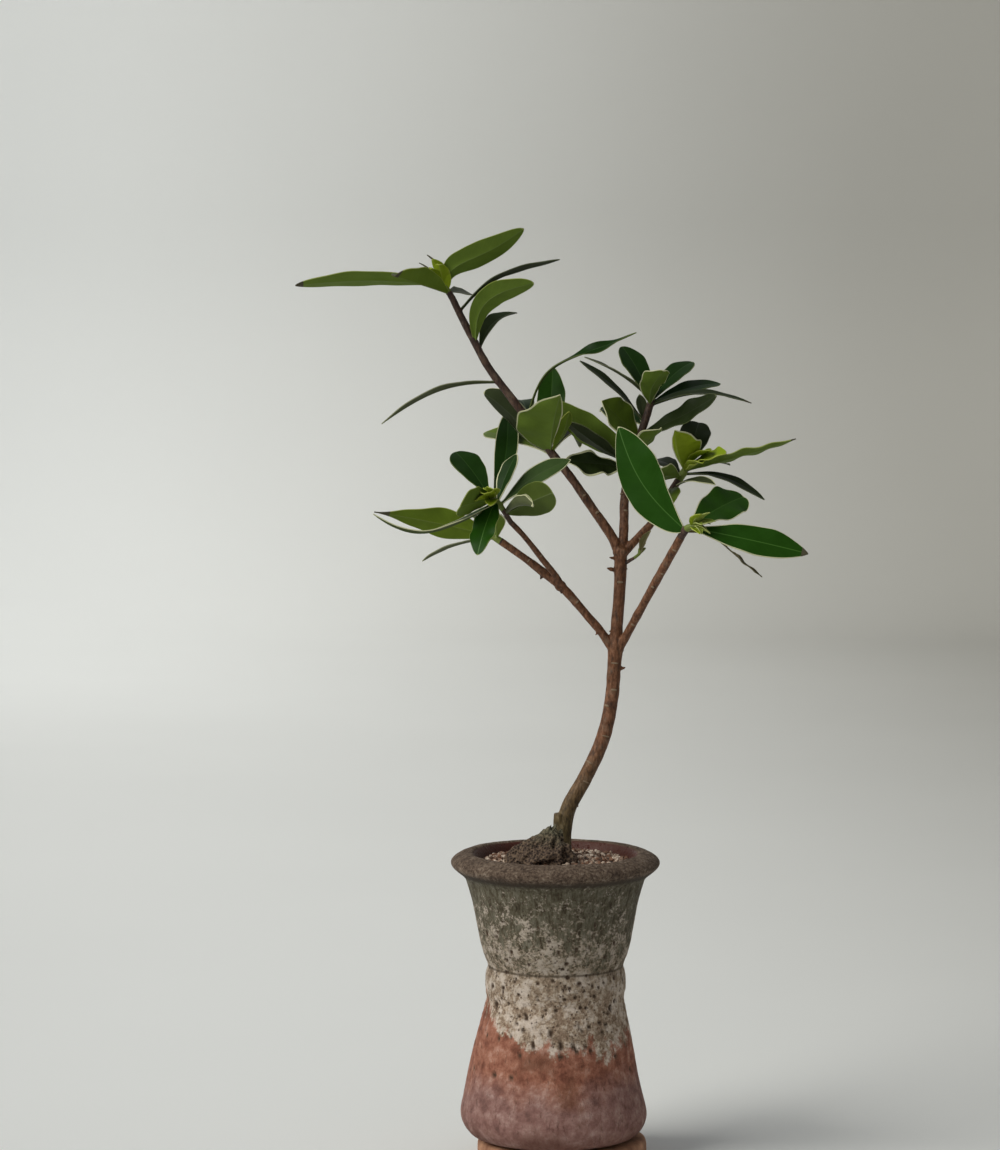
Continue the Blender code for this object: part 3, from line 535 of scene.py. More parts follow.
def clay_material():
    """Wood-fired stoneware: moss-grey neck, a chalky pitted waist and a rust-coloured belly."""
    made, place = new_material("wood_fired_stoneware")
    x, _, z = split(place)
    wide = cloud(place, 30.0, 4.0, 0.55)
    blotch = cloud(place, 7.0, 6.0, 0.68)
    fine = cloud(place, 1.5, 4.0, 0.7)
    strokes = cloud(place, (460.0, 460.0, 130.0), 5.0, 0.7)
    # Belly: orange rust under the crust, mauve lower down, with brown burns and fine cracks.
    rust = toned(blotch, ((0.32, "643A2C"), (0.45, "885543"), (0.56, "9E6C58"), (0.70, "BA9181")))
    mauve = toned(blotch, ((0.32, "654842"), (0.45, "815D56"), (0.57, "94736B"), (0.72, "B1958E")))
    down = maths("MULTIPLY_ADD", wide, 0.05, z)
    belly = mixed(spread(down, *MAUVE_BAND), rust, mauve)
    belly = stained(belly, (wide, 0.56, 0.68, 0.6, "63402E"), (down, *BURNT_BAND, 0.6, "5C3A2C"),
                    (strokes, 0.44, 0.34, 0.6, "4E3026"))
    # Neck: grey-green with dark vertical strokes.
    moss = toned(strokes, ((0.34, "352C1F"), (0.45, "4F4838"), (0.55, "5F5A4B"), (0.72, "7E796B")))
    # Crust: pinkish chalk with grains of every tone.
    chalk = toned(fine, ((0.30, "4E3E31"), (0.43, "83715F"), (0.54, "A6937F"), (0.68, "C8BAAA")))
    chalk = stained(chalk, (blotch, 0.48, 0.60, 0.8, "D2C4B8"), (blotch, 0.49, 0.38, 0.65, "775F4D"),
                    (z, *NECK_BAND, 0.42, "6E6757"))
    # How much crust there is at each height: none under the lip, specks on the neck, most at the waist.
    thick = maths("ADD", spread(z, 0.150, 0.100, 0.30, 0.53), spread(z, 0.1048, 0.1030, 0.0, 0.10))
    patchy = maths("MULTIPLY_ADD", blotch, 0.75, thick)
    grains = maths("MULTIPLY_ADD", fine, 0.65, patchy)
    upper = mixed(spread(grains, 1.08, 1.20), moss, chalk)
    # The crust ends below in a ragged scalloped line, higher at the left.
    hang = cloud(place, (85.0, 85.0, 40.0), 4.0, 0.62)
    run = maths("MULTIPLY_ADD", hang, 0.060, z)
    run = maths("ADD", run, spread(x, -0.022, -0.040, 0.0, -0.020))
    edge = spread(maths("MULTIPLY_ADD", fine, 0.014, run), *CRUST_BAND)
    body = mixed(edge, belly, upper)
    # Lip: browner than the neck.
    lip_grain = maths("MULTIPLY_ADD", blotch, 0.5, fine)
    lip_tone = toned(lip_grain,
                     ((0.58, "362A21"), (0.70, "55463B"), (0.80, "675749"), (0.95, "87796B")))
    body = mixed(spread(z, *LIP_BAND), body, lip_tone)
    # Painted shade: dark lines in the groove under the lip and in the crease above the waist.
    for height, faint, full, most, colour in ((0.1544, 0.0026, 0.0005, 0.8, "30261D"),
                                              (0.1046, 0.0009, 0.0003, 0.7, "3E3226")):
        away = maths("ABSOLUTE", maths("SUBTRACT", z, height))
        body = stained(body, (away, faint, full, most, colour))
    # Small pits on the neck and the crust, in about half of the cells: dents in the bump, darkened as
    # painted shade.
    nearness, lot = cells(place, 2.1)
    small = maths("MULTIPLY", spread(nearness, 0.12, 0.30, 0.85, 0.0), spread(lot, 0.45, 0.50))
    small = maths("MULTIPLY", small, edge)
    body = mixed(small, body, linear("46362A"))
    # Large pits, which are hollows in the mesh too, darkened by their depth as painted shade, and the dark
    # red glaze inside.
    pit_shade, glaze = (add(place.id_data, "Attribute", {"attribute_name": name}).outputs["Fac"]
                     for name in ("pit", "inside"))
    body = mixed(pit_shade, body, linear("423226"))
    body = mixed(glaze, body, linear("4A2216"))
    relief = maths("SUBTRACT", maths("MULTIPLY_ADD", blotch, 1.6, fine), small)
    bumped(relief, strength=0.8, depth=0.7)
    finish_skin(body, roughness=spread(glaze, 0.0, 1.0, 0.88, 0.4), gloss=0.3)
    return made


# ---------------------------------------------------------------------------- modelling helpers


def pick(*pieces):
    """Selects some pieces, or none, so that the next operator works on them alone."""
    bpy.ops.object.select_all(action="DESELECT")
    for piece in pieces:
        piece.select_set(True)
    if pieces:
        bpy.context.view_layer.objects.active = pieces[0]


def keep(obj, name):
    """Names a new object and its mesh."""
    obj.name = name
    obj.data.name = name
    return obj


def fresh(name, operator, **settings):
    """Makes a new piece with an operator and names it."""
    pick()
    operator(**settings)
    return keep(bpy.context.object, name)


def placed(name, data):
    """A new object around its data."""
    obj = bpy.data.objects.new(name, data)
    bpy.context.scene.collection.objects.link(obj)
    return obj


def wear(obj, *skins):
    """Gives a piece its materials."""
    obj.data.materials.clear()
    for skin in skins:
        obj.data.materials.append(skin)


def modified(obj, kind, **settings):
    """Adds a modifier with its settings and applies it."""
    step = obj.modifiers.new(kind.lower(), kind)
    for key, value in settings.items():
        setattr(step, key, value)
    pick(obj)
    bpy.ops.object.modifier_apply(modifier=step.name)


def joined(pieces, name):
    """Joins pieces into the first of them."""
    pick(*pieces)
    bpy.ops.object.join()
    return keep(bpy.context.object, name)


def finish_piece(obj, replaced=(), sharp=50):
    """Sets an object's place in its mesh, smooths it, and hangs it on the frame."""
    pick(obj)
    bpy.ops.object.transform_apply(location=True, rotation=True, scale=True)
    bpy.ops.object.shade_smooth_by_angle(angle=math.radians(sharp))
    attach(obj, "root")
    if replaced:
        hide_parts(*replaced)


def tree_of(places):
    """A search tree over places, each known by its number."""
    tree = kdtree.KDTree(len(places))
    for number, place in enumerate(places):
        tree.insert(place, number)
    tree.balance()
    return tree


def with_normals(mesh):
    """Each vertex with a copy of its normal, which moving its neighbours would change."""
    return [(vert, vert.normal.copy()) for vert in mesh.vertices]


def curve_through(knots, spacing=2.0):
    """Points of (x, y, z, radius) along a smooth line through knots of the same four numbers."""
    knots = [Vector(knot) for knot in knots]
    places = [knot.xyz for knot in knots]
    before = [places[0], *places[:-1]]
    after = [*places[1:], places[-1]]
    headings = [(b - a).normalized() for a, b in zip(before, after)]
    points = []
    for i in range(len(knots) - 1):
        start, end = places[i], places[i + 1]
        span = (end - start).length
        count = max(1, round(span / spacing))
        for step in range(count):
            t = step / count
            place = ((2 * t ** 3 - 3 * t ** 2 + 1) * start + (3 * t ** 2 - 2 * t ** 3) * end
                     + (t ** 3 - 2 * t ** 2 + t) * span * headings[i]
                     + (t ** 3 - t ** 2) * span * headings[i + 1])
            points.append(Vector((*place, knots[i].w * (1 - t) + knots[i + 1].w * t)))
    return [*points, knots[-1]]


def limb(name, knots, wobble=0.0):
    """A round tapering limb through knots, its girth a little uneven."""
    points = curve_through(knots)
    pick()
    bpy.ops.curve.primitive_nurbs_path_add()
    curve = bpy.context.object.data
    curve.splines.remove(curve.splines[0])
    spline = curve.splines.new("POLY")
    spline.points.add(len(points) - 1)
    curve.bevel_depth = MM
    curve.bevel_resolution = 5
    curve.use_fill_caps = True
    for spot, point in zip(spline.points, points):
        spot.co = (*(point.xyz * MM), 1.0)
        spot.radius = point.w * (1 + wobble * noise.noise(point.xyz / 5.0))
    bpy.ops.object.convert(target="MESH")
    return keep(bpy.context.object, name)


def ball(name, centre, radii, turn=None, rings=6):
    """A small ellipsoid, for buds, knots and scars."""
    made = fresh(name, bpy.ops.mesh.primitive_uv_sphere_add, segments=2 * rings, ring_count=rings,
                 radius=MM)
    matrix = Matrix.Diagonal((*radii, 1.0))
    if turn:
        matrix = turn.to_matrix().to_4x4() @ matrix
    made.data.transform(Matrix.Translation(Vector(centre) * MM) @ matrix)
    return made


def grown_on(knots, parent, sink=3.0):
    """The knots of a limb that grows on from its parent's tip, with its foot sunk in the parent."""
    *_, last, tip = curve_through(parent)
    onward = (tip.xyz - last.xyz).normalized()
    start = tip.xyz - onward * sink
    return ((*start, tip.w * 0.94), (*tip.xyz, tip.w * 0.98), *knots)


def place_along(knots, share):
    """The point at a share of a limb's length along its centre line."""
    points = [point.xyz for point in curve_through(knots)]
    left = share * sum((b - a).length for a, b in zip(points, points[1:]))
    for a, b in zip(points, points[1:]):
        run = (b - a).length
        if left <= run:
            return a.lerp(b, left / run)
        left -= run
    return points[-1]


# ---------------------------------------------------------------------------- wood


def barked(parts, name, voxel, wrinkle):
    """Melts limbs into one skin, eases its forks and raises its swellings and long wrinkles."""
    piece = joined(parts, name)
    modified(piece, "REMESH", mode="VOXEL", voxel_size=voxel * MM)
    modified(piece, "SMOOTH", factor=0.5, iterations=3)
    for vert, normal in with_normals(piece.data):
        place = vert.co / MM
        swell = noise.noise(place / 6.0) * 0.16
        grain = noise.noise(Vector((place.x / 0.9, place.y / 0.9, place.z / 4.5))) * wrinkle
        vert.co += normal * (swell + grain) * MM
    piece.data.update()
    return piece


def wood(bark):
    """The trunk and its boughs as one barked skin, with its spurs and the pruned stub."""
    parts = [limb("trunk_core", TRUNK, wobble=0.05), limb("stub_core", STUB, wobble=0.05)]
    parts += [limb(name + "_core", knots, wobble=0.07) for name, knots in BOUGHS.items()]
    for number, (root, reach, thick) in enumerate(SPURS):
        root = Vector(root)
        tip = root + Vector(reach)
        knots = ((*root, thick), (*root.lerp(tip, 0.5), thick), (*tip, SPUR_TIP))
        parts.append(limb(f"spur_{number}", knots))
    parts += [ball(name, centre, radii, rings=8) for name, centre, radii in FORK_KNOTS]
    parts.append(limb("top_left_core", grown_on(TOP_LEFT_BOUGH, middle_knots(), sink=1.0), wobble=0.06))
    piece = barked(parts, "bark_skin", voxel=0.42, wrinkle=0.07)
    wear(piece, bark)
    return piece


def leaf_scars(scar):
    """Pale half-moon scars where leaves have dropped from the trunk and the boughs."""
    chance = random.Random(f"{SEED} scars")
    limbs = {"trunk": TRUNK, **BOUGHS}
    marks = []
    for name, rows in SCARS:
        points = curve_through(limbs[name], 1.0)
        for height, around in rows:
            i = min(range(1, len(points)), key=lambda n: abs(points[n].z - height))
            heading = (points[i].xyz - points[i - 1].xyz).normalized()
            out = Vector((0.0, -1.0, 0.0))
            out = (out - heading * out.dot(heading)).normalized()
            out.rotate(Quaternion(heading, math.radians(around)))
            turn = Matrix((heading.cross(out), heading, out)).transposed().to_quaternion()
            wide = points[i].w * chance.uniform(0.42, 0.6)
            centre = points[i].xyz + out * (points[i].w * 0.93)
            marks.append(ball(f"scar_{len(marks)}", centre, (wide, chance.uniform(0.45, 0.7), 0.55), turn))
    piece = joined(marks, "leaf_scars")
    wear(piece, scar)
    return piece


def middle_knots():
    """The middle spray's stem, from the upper left bough."""
    return grown_on(STEMS["middle_spray"][3:], BOUGHS["upper_left"])


def stems():
    """Each spray's name, its stem's knots, the line its leaves stand on, its green share and its bud."""
    parents = {**BOUGHS, "top_left": grown_on(TOP_LEFT_BOUGH, middle_knots())}
    for name, (parent, green_from, bud, *knots) in STEMS.items():
        stem = grown_on(knots, parents[parent]) if parent else knots
        yield name, stem, stem[1:] if parent else stem, green_from, bud


def twigs(bark, green):
    """The leafy twigs as one skin: barked below, green where the youngest leaves stand."""
    parts = []
    tips = []
    for name, knots, along, green_from, _ in stems():
        parts.append(limb(name + "_twig", knots, wobble=0.08))
        for number, (share, reach, width, *_) in enumerate(LEAVES[name]):
            centre = place_along(along, share) + Vector(reach).normalized() * 0.9
            size = 1.5 if width > YOUNG_LEAF_WIDTH else 0.8
            parts.append(ball(f"{name}_axil_{number}", centre, [size] * 3))
        points = curve_through(along, 1.0)
        tips += [point.xyz * MM for point in points[int(len(points) * green_from):]]
        parts.append(ball(name + "_tip", points[-1].xyz, [points[-1].w * 1.05] * 3))
    piece = barked(parts, "twigs", voxel=0.38, wrinkle=0.06)
    wear(piece, bark, green)
    tree = tree_of(tips)
    for face in piece.data.polygons:
        if tree.find(face.center)[2] < GREEN_REACH * MM:
            face.material_index = 1
    return piece


# ---------------------------------------------------------------------------- leaves


def blade_width(t, width, shape, side):
    """The full width of a blade at t of its length, as the half on one side has it."""
    bend = math.log(0.5) / math.log(shape["broad"] + side * shape["lean"])
    least = STALK_WIDTH + (TIP_WIDTH - STALK_WIDTH) * t
    swell = max(0.0, math.sin(math.pi * t ** bend))
    return max(least, width * swell ** shape["blunt"])


def across(column, half, rim):
    """How far out a column of the grid lies, from 0 at the rib to 1 at the edge."""
    edge = 1.0 - min(rim / half, 0.35)
    rib = min(RIB_WIDTH / 2 / half, 0.2)
    return (0.0, rib, rib + (edge - rib) / 3, rib + (edge - rib) * 2 / 3, edge, 1.0)[abs(column - MIDDLE)]


def bent(out, fold, cup):
    """Where a point of the blade lies, out and up from the rib, for a half that folds and cups."""
    if abs(cup) < 0.01:
        return out * math.cos(fold), out * math.sin(fold)
    return ((math.sin(fold + cup * out) - math.sin(fold)) / cup,
            (math.cos(fold) - math.cos(fold + cup * out)) / cup)


def leaf(name, root, row, skins):
    """One leaf blade: a grid laid along its rib, shaped, given its thickness and its raised rib."""
    reach, width, arch, roll, tone, own = row
    shape = {**PLAIN_LEAF, **own}
    reach, bow, sway = Vector(reach), Vector(shape["bow"]), Vector(shape["sway"])
    length = reach.length
    along = reach.normalized()
    side = along.cross(UP).normalized()
    side.rotate(Quaternion(along, math.radians(roll)))
    lifted = side.cross(along) * length
    fold, cup = math.radians(shape["fold"]), math.radians(shape["cup"])
    chance = random.Random(f"{SEED} {name}")
    phases = [chance.uniform(0.0, 2 * math.pi) for _ in range(2)]

    def rib_at(t):
        curl = max(0.0, (t - CURL_FROM) / (1.0 - CURL_FROM)) ** 2 * shape["curl"]
        return (root + reach * t + bow * math.sin(math.pi * t) + sway * math.sin(2 * math.pi * t)
                + lifted * (arch * 4 * t * (1 - t) + curl))

    rows = LEAF_ROWS if length > YOUNG_LEAF_LENGTH else YOUNG_ROWS
    obj = fresh(name, bpy.ops.mesh.primitive_grid_add, x_subdivisions=rows, y_subdivisions=len(STRIPS),
                size=2)
    mesh = obj.data
    unders = []
    evens = [step / rows for step in range(rows + 1)]
    shares = [0.5 * even + 0.25 * (1 - math.cos(math.pi * even)) for even in evens]
    for number, vert in enumerate(mesh.vertices):
        column, step = divmod(number, rows + 1)
        t = shares[step]
        right = column > MIDDLE
        half = blade_width(t, width, shape, -1 if right else 1) / 2 * shape["halves"][right]
        half *= 1 + 0.05 * noise.noise(Vector((7 * t, phases[right], 0.0)))
        heading = (rib_at(t + 0.01) - rib_at(t - 0.01)).normalized()
        aside = (side - heading * side.dot(heading)).normalized()
        flare = shape["flare"][1] * math.exp(-((t - shape["flare"][0]) / shape["flare"][2]) ** 2)
        aside.rotate(Quaternion(heading, math.radians(shape["twist"] * (t - 0.5) + flare)))
        upper = aside.cross(heading)
        rim = shape["rim"] * (0.75 + 0.35 * math.sin(5 * t + phases[right]))
        out = across(column, half, rim)
        flat, up = bent(out, fold, cup)
        ripple = math.sin(2 * math.pi * shape["waves"] * t + phases[right])
        up += shape["wave"] * out * out * ripple * min(1.0, 3 * t)
        flat = flat if column < MIDDLE else -flat
        vert.co = (rib_at(t) + aside * (flat * half) + upper * (up * half)) * MM
        rib_here = RIB_SHARES.get(abs(column - MIDDLE), 0.0)
        unders.append(-upper * RIB_DEPTH * rib_here * (1 - t) ** 1.5 * min(1.0, length / 40))
    wear(obj, *skins[tone])
    rim_kind = "margin" if shape["rim"] >= WHITE_RIM else "pale"
    for face in mesh.polygons:
        strip, step = divmod(face.index, rows)
        kind = rim_kind if STRIPS[strip] == "margin" or step == rows - 1 else STRIPS[strip]
        if shares[step + 1] > 1.0 - shape["tip"] + 0.001:
            kind = "dry"
        face.material_index = KINDS.index(kind)
    # The underside's materials follow the upper side's, in the same order.
    modified(obj, "SOLIDIFY", thickness=LEAF_SKIN * MM, offset=-1.0, material_offset=len(KINDS))
    for vert, push in zip(obj.data.vertices[len(unders):], unders):
        vert.co += push * MM
    return obj


def young_leaves(tip, onward, bud, chance):
    """Rows of root and leaf for the young leaves that spiral round a tip."""
    count, length, tone = bud
    width, arch = 0.42 * length, 0.14
    sideways = onward.cross(UP).normalized()
    rows = []
    for number in range(count):
        lean = sideways.copy()
        lean.rotate(Quaternion(onward, number * GOLDEN_ANGLE))
        reach = (onward + lean * chance.uniform(0.3, 0.85)).normalized()
        reach = reach * length * chance.uniform(0.6, 1.0)
        own = {**YOUNG_LEAF, "curl": chance.uniform(-0.1, 0.12)}
        rows.append((tip - onward * 1.4, (reach, width, arch, chance.uniform(-15, 15), tone, own)))
    return rows


def leafy(name, knots, bud, skins):
    """All the leaves of one spray, old and young, as one piece."""
    chance = random.Random(f"{SEED} {name}")
    rows = [(place_along(knots, share), rest) for share, *rest in LEAVES[name]]
    *_, last, tip = curve_through(knots)
    rows += young_leaves(tip.xyz, (tip.xyz - last.xyz).normalized(), bud, chance)
    made = [leaf(f"{name}_leaf_{number}", root, row, skins) for number, (root, row) in enumerate(rows)]
    return joined(made, name.replace("_spray", "") + "_leaves")


def leaf_skins():
    """The materials of each leaf tone in the order of KINDS, upper side first and underside after."""
    margin = leaf_edge("cream_margin", CREAM, roughness=0.5)
    dry = leaf_edge("withered_tip", DRY, roughness=0.8)
    skins = {}
    for tone, (upper, under, rib, rib_under, pale) in TONES.items():
        edge = leaf_edge(f"pale_margin_{tone}", pale, roughness=0.5)
        skins[tone] = (
            leaf_blade(f"waxy_leaf_{tone}", upper, roughness=0.40, vein=0.12),
            leaf_edge(f"leaf_rib_{tone}", rib, roughness=0.4),
            margin, edge, dry,
            leaf_blade(f"leaf_underside_{tone}", under, roughness=0.62, vein=0.10),
            leaf_edge(f"rib_underside_{tone}", rib_under, roughness=0.6),
            margin, edge, dry,
        )
    return skins


# ---------------------------------------------------------------------------- pot, grit and stone


def edit_all():
    """Enters edit mode with everything selected."""
    bpy.ops.object.mode_set(mode="EDIT")
    bpy.ops.mesh.select_all(action="SELECT")


def drawn_on(rise, grow, level=0.0):
    """Extrudes the chosen ring upwards and resizes it about the axis."""
    bpy.ops.mesh.extrude_region_move(TRANSFORM_OT_translate={"value": (0.0, 0.0, rise)})
    bpy.ops.transform.resize(value=(grow, grow, 1.0), center_override=(0.0, 0.0, level))


def faced(inside):
    """Turns every face outwards, or inwards, and leaves edit mode."""
    bpy.ops.mesh.select_all(action="SELECT")
    bpy.ops.mesh.normals_make_consistent(inside=inside)
    bpy.ops.object.mode_set(mode="OBJECT")


def lathe(name, profile, rounding):
    """A shell turned from a profile: one ring, drawn on and resized bend by bend, then rounded."""
    (radius, height), *bends = profile
    obj = fresh(name, bpy.ops.mesh.primitive_circle_add, vertices=POT_TURNS, radius=radius * MM,
                fill_type="NGON")
    obj.data.transform(Matrix.Translation((0.0, 0.0, height * MM)))
    edit_all()
    for next_radius, next_height in bends:
        drawn_on((next_height - height) * MM, next_radius / radius, next_height * MM)
        radius, height = next_radius, next_height
    faced(inside=False)
    modified(obj, "SUBSURF", levels=rounding, render_levels=rounding)
    return obj


def pit_places():
    """Seeded places and sizes of the large pits, thickest at the waist."""
    chance = random.Random(f"{SEED} pits")
    outside = [*POT_NECK, *POT_WAIST, *POT_BELLY[:6]]
    pits = []
    while len(pits) < PIT_COUNT:
        height = min(150.0, max(52.0, chance.gauss(92.0, 20.0)))
        angle = chance.uniform(0.0, 2 * math.pi)
        radius = next((r0 + (r1 - r0) * (height - z0) / (z1 - z0)
                       for (r0, z0), (r1, z1) in zip(outside, outside[1:]) if z1 <= height <= z0), None)
        if radius is None:
            continue
        size = chance.choice(PIT_SIZES)
        pits.append((Vector((radius * math.cos(angle), radius * math.sin(angle), height)), size))
    return pits


def pot(clay):
    """The waisted pot, thrown a little uneven, its crust raised and pitted."""
    obj = lathe("clay_pot", [*POT_INSIDE, *POT_LIP, *POT_NECK, *POT_WAIST, *POT_BELLY], rounding=2)
    mesh = obj.data
    pits = pit_places()
    tree = tree_of([centre for centre, _ in pits])
    pit = mesh.attributes.new("pit", "FLOAT", "POINT").data
    inside = mesh.attributes.new("inside", "FLOAT", "POINT").data
    for vert, normal in with_normals(mesh):
        place = vert.co / MM
        inward = normal.x * place.x + normal.y * place.y < 0.0 and place.z < LIP_TOP
        if inward and POT_UNDERSIDE < place.z:
            inside[vert.index].value = 1.0
            continue
        outer = 1.0 if place.z > POT_UNDERSIDE + 1.0 else 0.0
        push = CLAY_WOBBLE * noise.noise(place / 24.0) + 0.12 * noise.noise(place / 5.0)
        band = math.exp(-((place.z - CRUST_HEIGHT) / 30.0) ** 2)
        push += CRUST_RISE * band * noise.noise(place / 2.4)
        for _, number, distance in tree.find_n(place, 2):
            size = pits[number][1]
            if distance < size * PIT_REACH:
                deep = 1.0 - (distance / (size * PIT_REACH)) ** 2
                push -= PIT_DEPTH * size * deep
                # How deep this point lies in a pit, which the clay darkens as painted shade.
                pit[vert.index].value = max(pit[vert.index].value, min(1.0, 1.6 * deep))
        vert.co += normal * push * outer * MM
        lean = max(0.0, 1.0 - abs(place.z - BELLY_HEIGHT) / BELLY_HEIGHT)
        vert.co.x += BELLY_LEAN * lean * MM
    mesh.update()
    wear(obj, clay)
    return obj


def pot_foot(clay):
    """The low round foot, with soft dents."""
    obj = lathe("clay_foot", FOOT_PROFILE, rounding=1)
    for vert in obj.data.vertices:
        place = vert.co / MM
        if 1.5 < place.z < 12.4:
            out = Vector((place.x, place.y, 0.0)).normalized()
            vert.co += out * (noise.noise(place / 14.0) * 0.35 - 0.2) * MM
    obj.data.transform(Matrix.Translation(FOOT_CENTRE * MM))
    wear(obj, clay)
    return obj


def pebbles(tones):
    """Loose grit: a few shapes modelled once and strewn as copies over the fill."""
    chance = random.Random(f"{SEED} grit")
    shapes = []
    for number in range(PEBBLE_SHAPES):
        model = fresh("pebble", bpy.ops.mesh.primitive_ico_sphere_add, subdivisions=2, radius=1.0)
        for vert in model.data.vertices:
            vert.co *= 1.0 + 0.45 * noise.noise(vert.co * 1.1 + Vector((number * 7.3, 0.0, 0.0)))
        shapes.append(([v.co.copy() for v in model.data.vertices],
                       [tuple(p.vertices) for p in model.data.polygons]))
        bpy.data.objects.remove(model)
    verts, faces, dealt = [], [], []
    for number in range(PEBBLE_COUNT):
        out = GRIT_RADIUS * math.sqrt(chance.uniform(0.0, 1.0))
        angle = chance.uniform(0.0, 2 * math.pi)
        size = chance.uniform(*PEBBLE_SIZES)
        z = GRIT_TOP - GRIT_FALL * max(0.0, (out - GRIT_FLAT) / 15.0) + chance.uniform(-0.7, 0.9)
        place = Vector((out * math.cos(angle), out * math.sin(angle), z))
        turn = Quaternion(Vector([chance.gauss(0, 1) for _ in range(3)]), chance.uniform(0.0, math.pi))
        squash = Vector((size * 0.62, size * 0.5, size * 0.42))
        points, sides = shapes[number % PEBBLE_SHAPES]
        first = len(verts)
        verts += [(place + turn @ (point * squash)) * MM for point in points]
        faces += [tuple(first + corner for corner in side) for side in sides]
        dealt += [chance.randrange(len(tones))] * len(sides)
    obj = placed("grit_pebbles", bpy.data.meshes.new("grit_pebbles"))
    obj.data.from_pydata(verts, [], faces)
    wear(obj, *tones)
    obj.data.polygons.foreach_set("material_index", dealt)
    return obj


def lava_stone(skin):
    """The rough stone that leans on the trunk's foot, its face eaten by pores."""
    obj = fresh("scoria_stone", bpy.ops.mesh.primitive_ico_sphere_add, subdivisions=7, radius=0.5)
    for vert in obj.data.vertices:
        place = vert.co * (1.0 + STONE_ROUGHNESS * noise.noise(vert.co * STONE_GRAIN))
        rise = max(0.0, place.z)
        place.xy = place.xy * (1.0 - STONE_NARROWING * rise)
        place.x += STONE_LEAN * rise
        vert.co = STONE_CENTRE + STONE_SIZE * place
    obj.data.update()
    for vert, normal in with_normals(obj.data):
        cell = noise.voronoi(vert.co / PORE_SPACING)[0][0]
        bite = PORE_DEPTH * max(0.0, PORE_REACH - cell) / PORE_REACH
        lump = 0.35 * noise.noise(vert.co / 2.6)
        vert.co = (vert.co + normal * (lump - bite)) * MM
    pick(obj)
    edit_all()
    bpy.ops.mesh.bisect(plane_co=(0.0, 0.0, (GRIT_TOP + 0.3) * MM), plane_no=UP, use_fill=True,
                        clear_inner=True)
    bpy.ops.object.mode_set(mode="OBJECT")
    wear(obj, skin)
    return obj


# ---------------------------------------------------------------------------- stage, light, camera


def stage():
    """A pale round floor that sweeps up into a pale wall on every side, greyer to the right by painted
    shade.
    """
    floor = fresh("pale_sweep", bpy.ops.mesh.primitive_circle_add, vertices=96, radius=FLOOR_RADIUS,
                  fill_type="NGON")
    edit_all()
    bpy.ops.mesh.select_mode(type="FACE")
    bpy.ops.mesh.inset(thickness=FLOOR_RADIUS * 0.5, depth=0.0)
    bpy.ops.mesh.select_all(action="DESELECT")
    bpy.ops.mesh.select_mode(type="EDGE")
    bpy.ops.object.mode_set(mode="OBJECT")
    for edge in floor.data.edges:
        edge.select = min(floor.data.vertices[i].co.length for i in edge.vertices) > FLOOR_RADIUS * 0.99
    bpy.ops.object.mode_set(mode="EDIT")
    radius = FLOOR_RADIUS
    for number in range(SWEEP_STEPS):
        a, b = (math.radians(90 * (number + k) / SWEEP_STEPS) for k in (0, 1))
        wider = radius + SWEEP_BEND * (math.sin(b) - math.sin(a))
        drawn_on(SWEEP_BEND * (math.cos(a) - math.cos(b)), wider / radius)
        radius = wider
    drawn_on(WALL_RISE, 1.0)
    faced(inside=True)
    bpy.ops.object.shade_smooth()
    # Matt wall paint, with painted shade that greys it towards the right.
    made, place = new_material("pale_paint_with_painted_shade")
    brushed = cloud(place, 400.0, 2.0)
    pale = mixed(brushed, linear("F1F3F2"), linear("F6F8F7"))
    grey = mixed(brushed, linear("9A9994"), linear("A09F9A"))
    x, y, _ = split(place)
    slant = maths("MULTIPLY_ADD", x, 0.8, maths("MULTIPLY", y, 0.12))
    shade = spread(slant, -0.2, 0.9, curve="SMOOTHSTEP")
    finish_skin(mixed(shade, pale, grey), roughness=0.9, gloss=0.1)
    wear(floor, made)


def lamp(name, kind, strength, aim, **settings):
    """A lamp that shines from the side that aim points to."""
    data = bpy.data.lights.new(name, kind)
    data.energy = strength
    for key, value in settings.items():
        setattr(data, key, value)
    obj = placed(name, data)
    obj.rotation_mode = "QUATERNION"
    obj.rotation_quaternion = Vector(aim).to_track_quat("Z", "Y")
    return obj


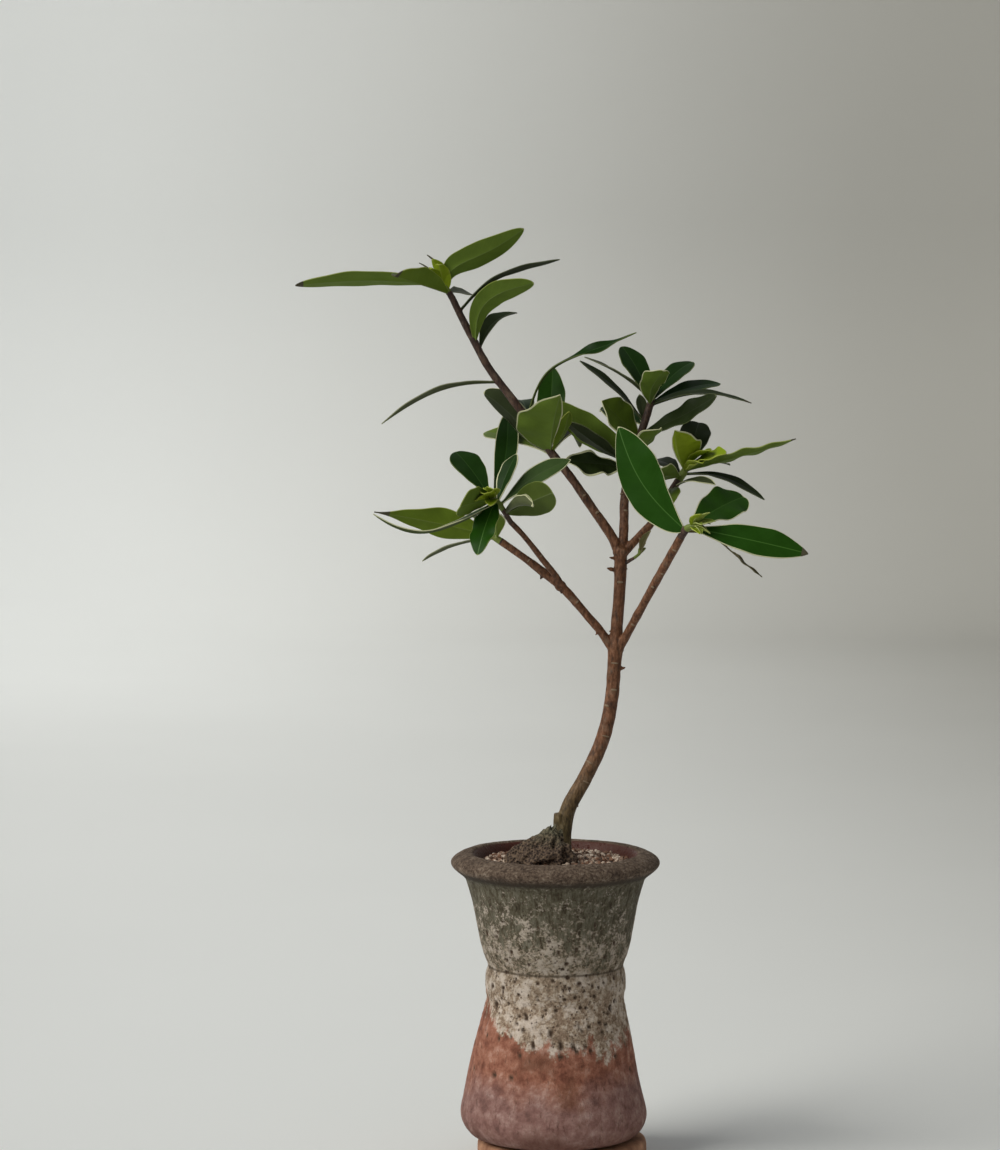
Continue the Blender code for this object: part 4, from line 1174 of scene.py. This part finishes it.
def lights():
    """A broad soft window light from the left, a lamp on the wall behind and a weaker sky."""
    lamp("window", "SUN", WINDOW_STRENGTH, WINDOW_FROM, angle=math.radians(WINDOW_SOFTNESS),
         color=linear("FFFDF6")[:3])
    washer = lamp("wall_washer", "SPOT", WASHER_STRENGTH, WASHER_FROM, spot_size=math.radians(110),
                  spot_blend=1.0, shadow_soft_size=0.2)
    washer.location = WASHER_PLACE
    world = bpy.data.worlds.new("room")
    world.use_nodes = True
    sky = world.node_tree.nodes["Background"].inputs
    sky["Color"].default_value = linear("E8EAEC")
    sky["Strength"].default_value = SKY_STRENGTH
    bpy.context.scene.world = world


def camera():
    """A long lens, a little above the crown and tilted down."""
    data = bpy.data.cameras.new("camera")
    data.lens = CAMERA_LENS
    data.sensor_width = 36.0
    obj = placed("camera", data)
    obj.location = CAMERA_PLACE
    obj.rotation_euler = (math.radians(CAMERA_TILT), 0.0, 0.0)
    bpy.context.scene.camera = obj
    bpy.context.scene.view_settings.view_transform = "Standard"


def main():
    """Dresses the frame."""
    camera()
    lights()
    stage()
    bark = smooth_bark("daphne_bark", OLD_STREAKS)
    young_bark = smooth_bark("young_bark", YOUNG_STREAKS)
    # The tips of the twigs are still green, and pale cork closes each leaf scar.
    green = leaf_edge("green_twig", "6C7A38", roughness=0.5)
    cork = leaf_edge("leaf_scar_cork", "8C7862", roughness=0.8)
    limbs = ["trunk"] + [name + "_bough" for name in (*BOUGHS, "top_left")]
    finish_piece(wood(bark), limbs, sharp=80)
    finish_piece(leaf_scars(cork), sharp=80)
    finish_piece(twigs(young_bark, green), sharp=80)
    skins = leaf_skins()
    for name, _, along, _, bud in stems():
        finish_piece(leafy(name, along, bud, skins), (name,))
    finish_piece(pot(clay_material()), ("pot",), sharp=80)
    # Unglazed orange stoneware for the foot, pumice of five tones for the grit, painted shade under it.
    foot = plain_stone("rust_stoneware", "82583F", "BA8C6C", grain=12.0, roughness=0.85)
    tones = [plain_stone(f"pumice_grit_{number}", dark, pale, grain=1.6, roughness=0.95)
             for number, (dark, pale) in enumerate(GRIT_TONES)]
    gap_shade_fill = plain_stone("dark_fill_painted_shade", "1C130D", "4A3A2E", grain=2.0, roughness=0.95)
    finish_piece(pot_foot(foot), ("pot_foot",), sharp=60)
    finish_piece(pebbles(tones), sharp=40)
    finish_piece(lava_stone(lava_material()), ("lava_stone",), sharp=60)
    # The fill under the grit is dark as painted shade in the gaps between the grains.
    wear(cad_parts["grit"], gap_shade_fill)


main()
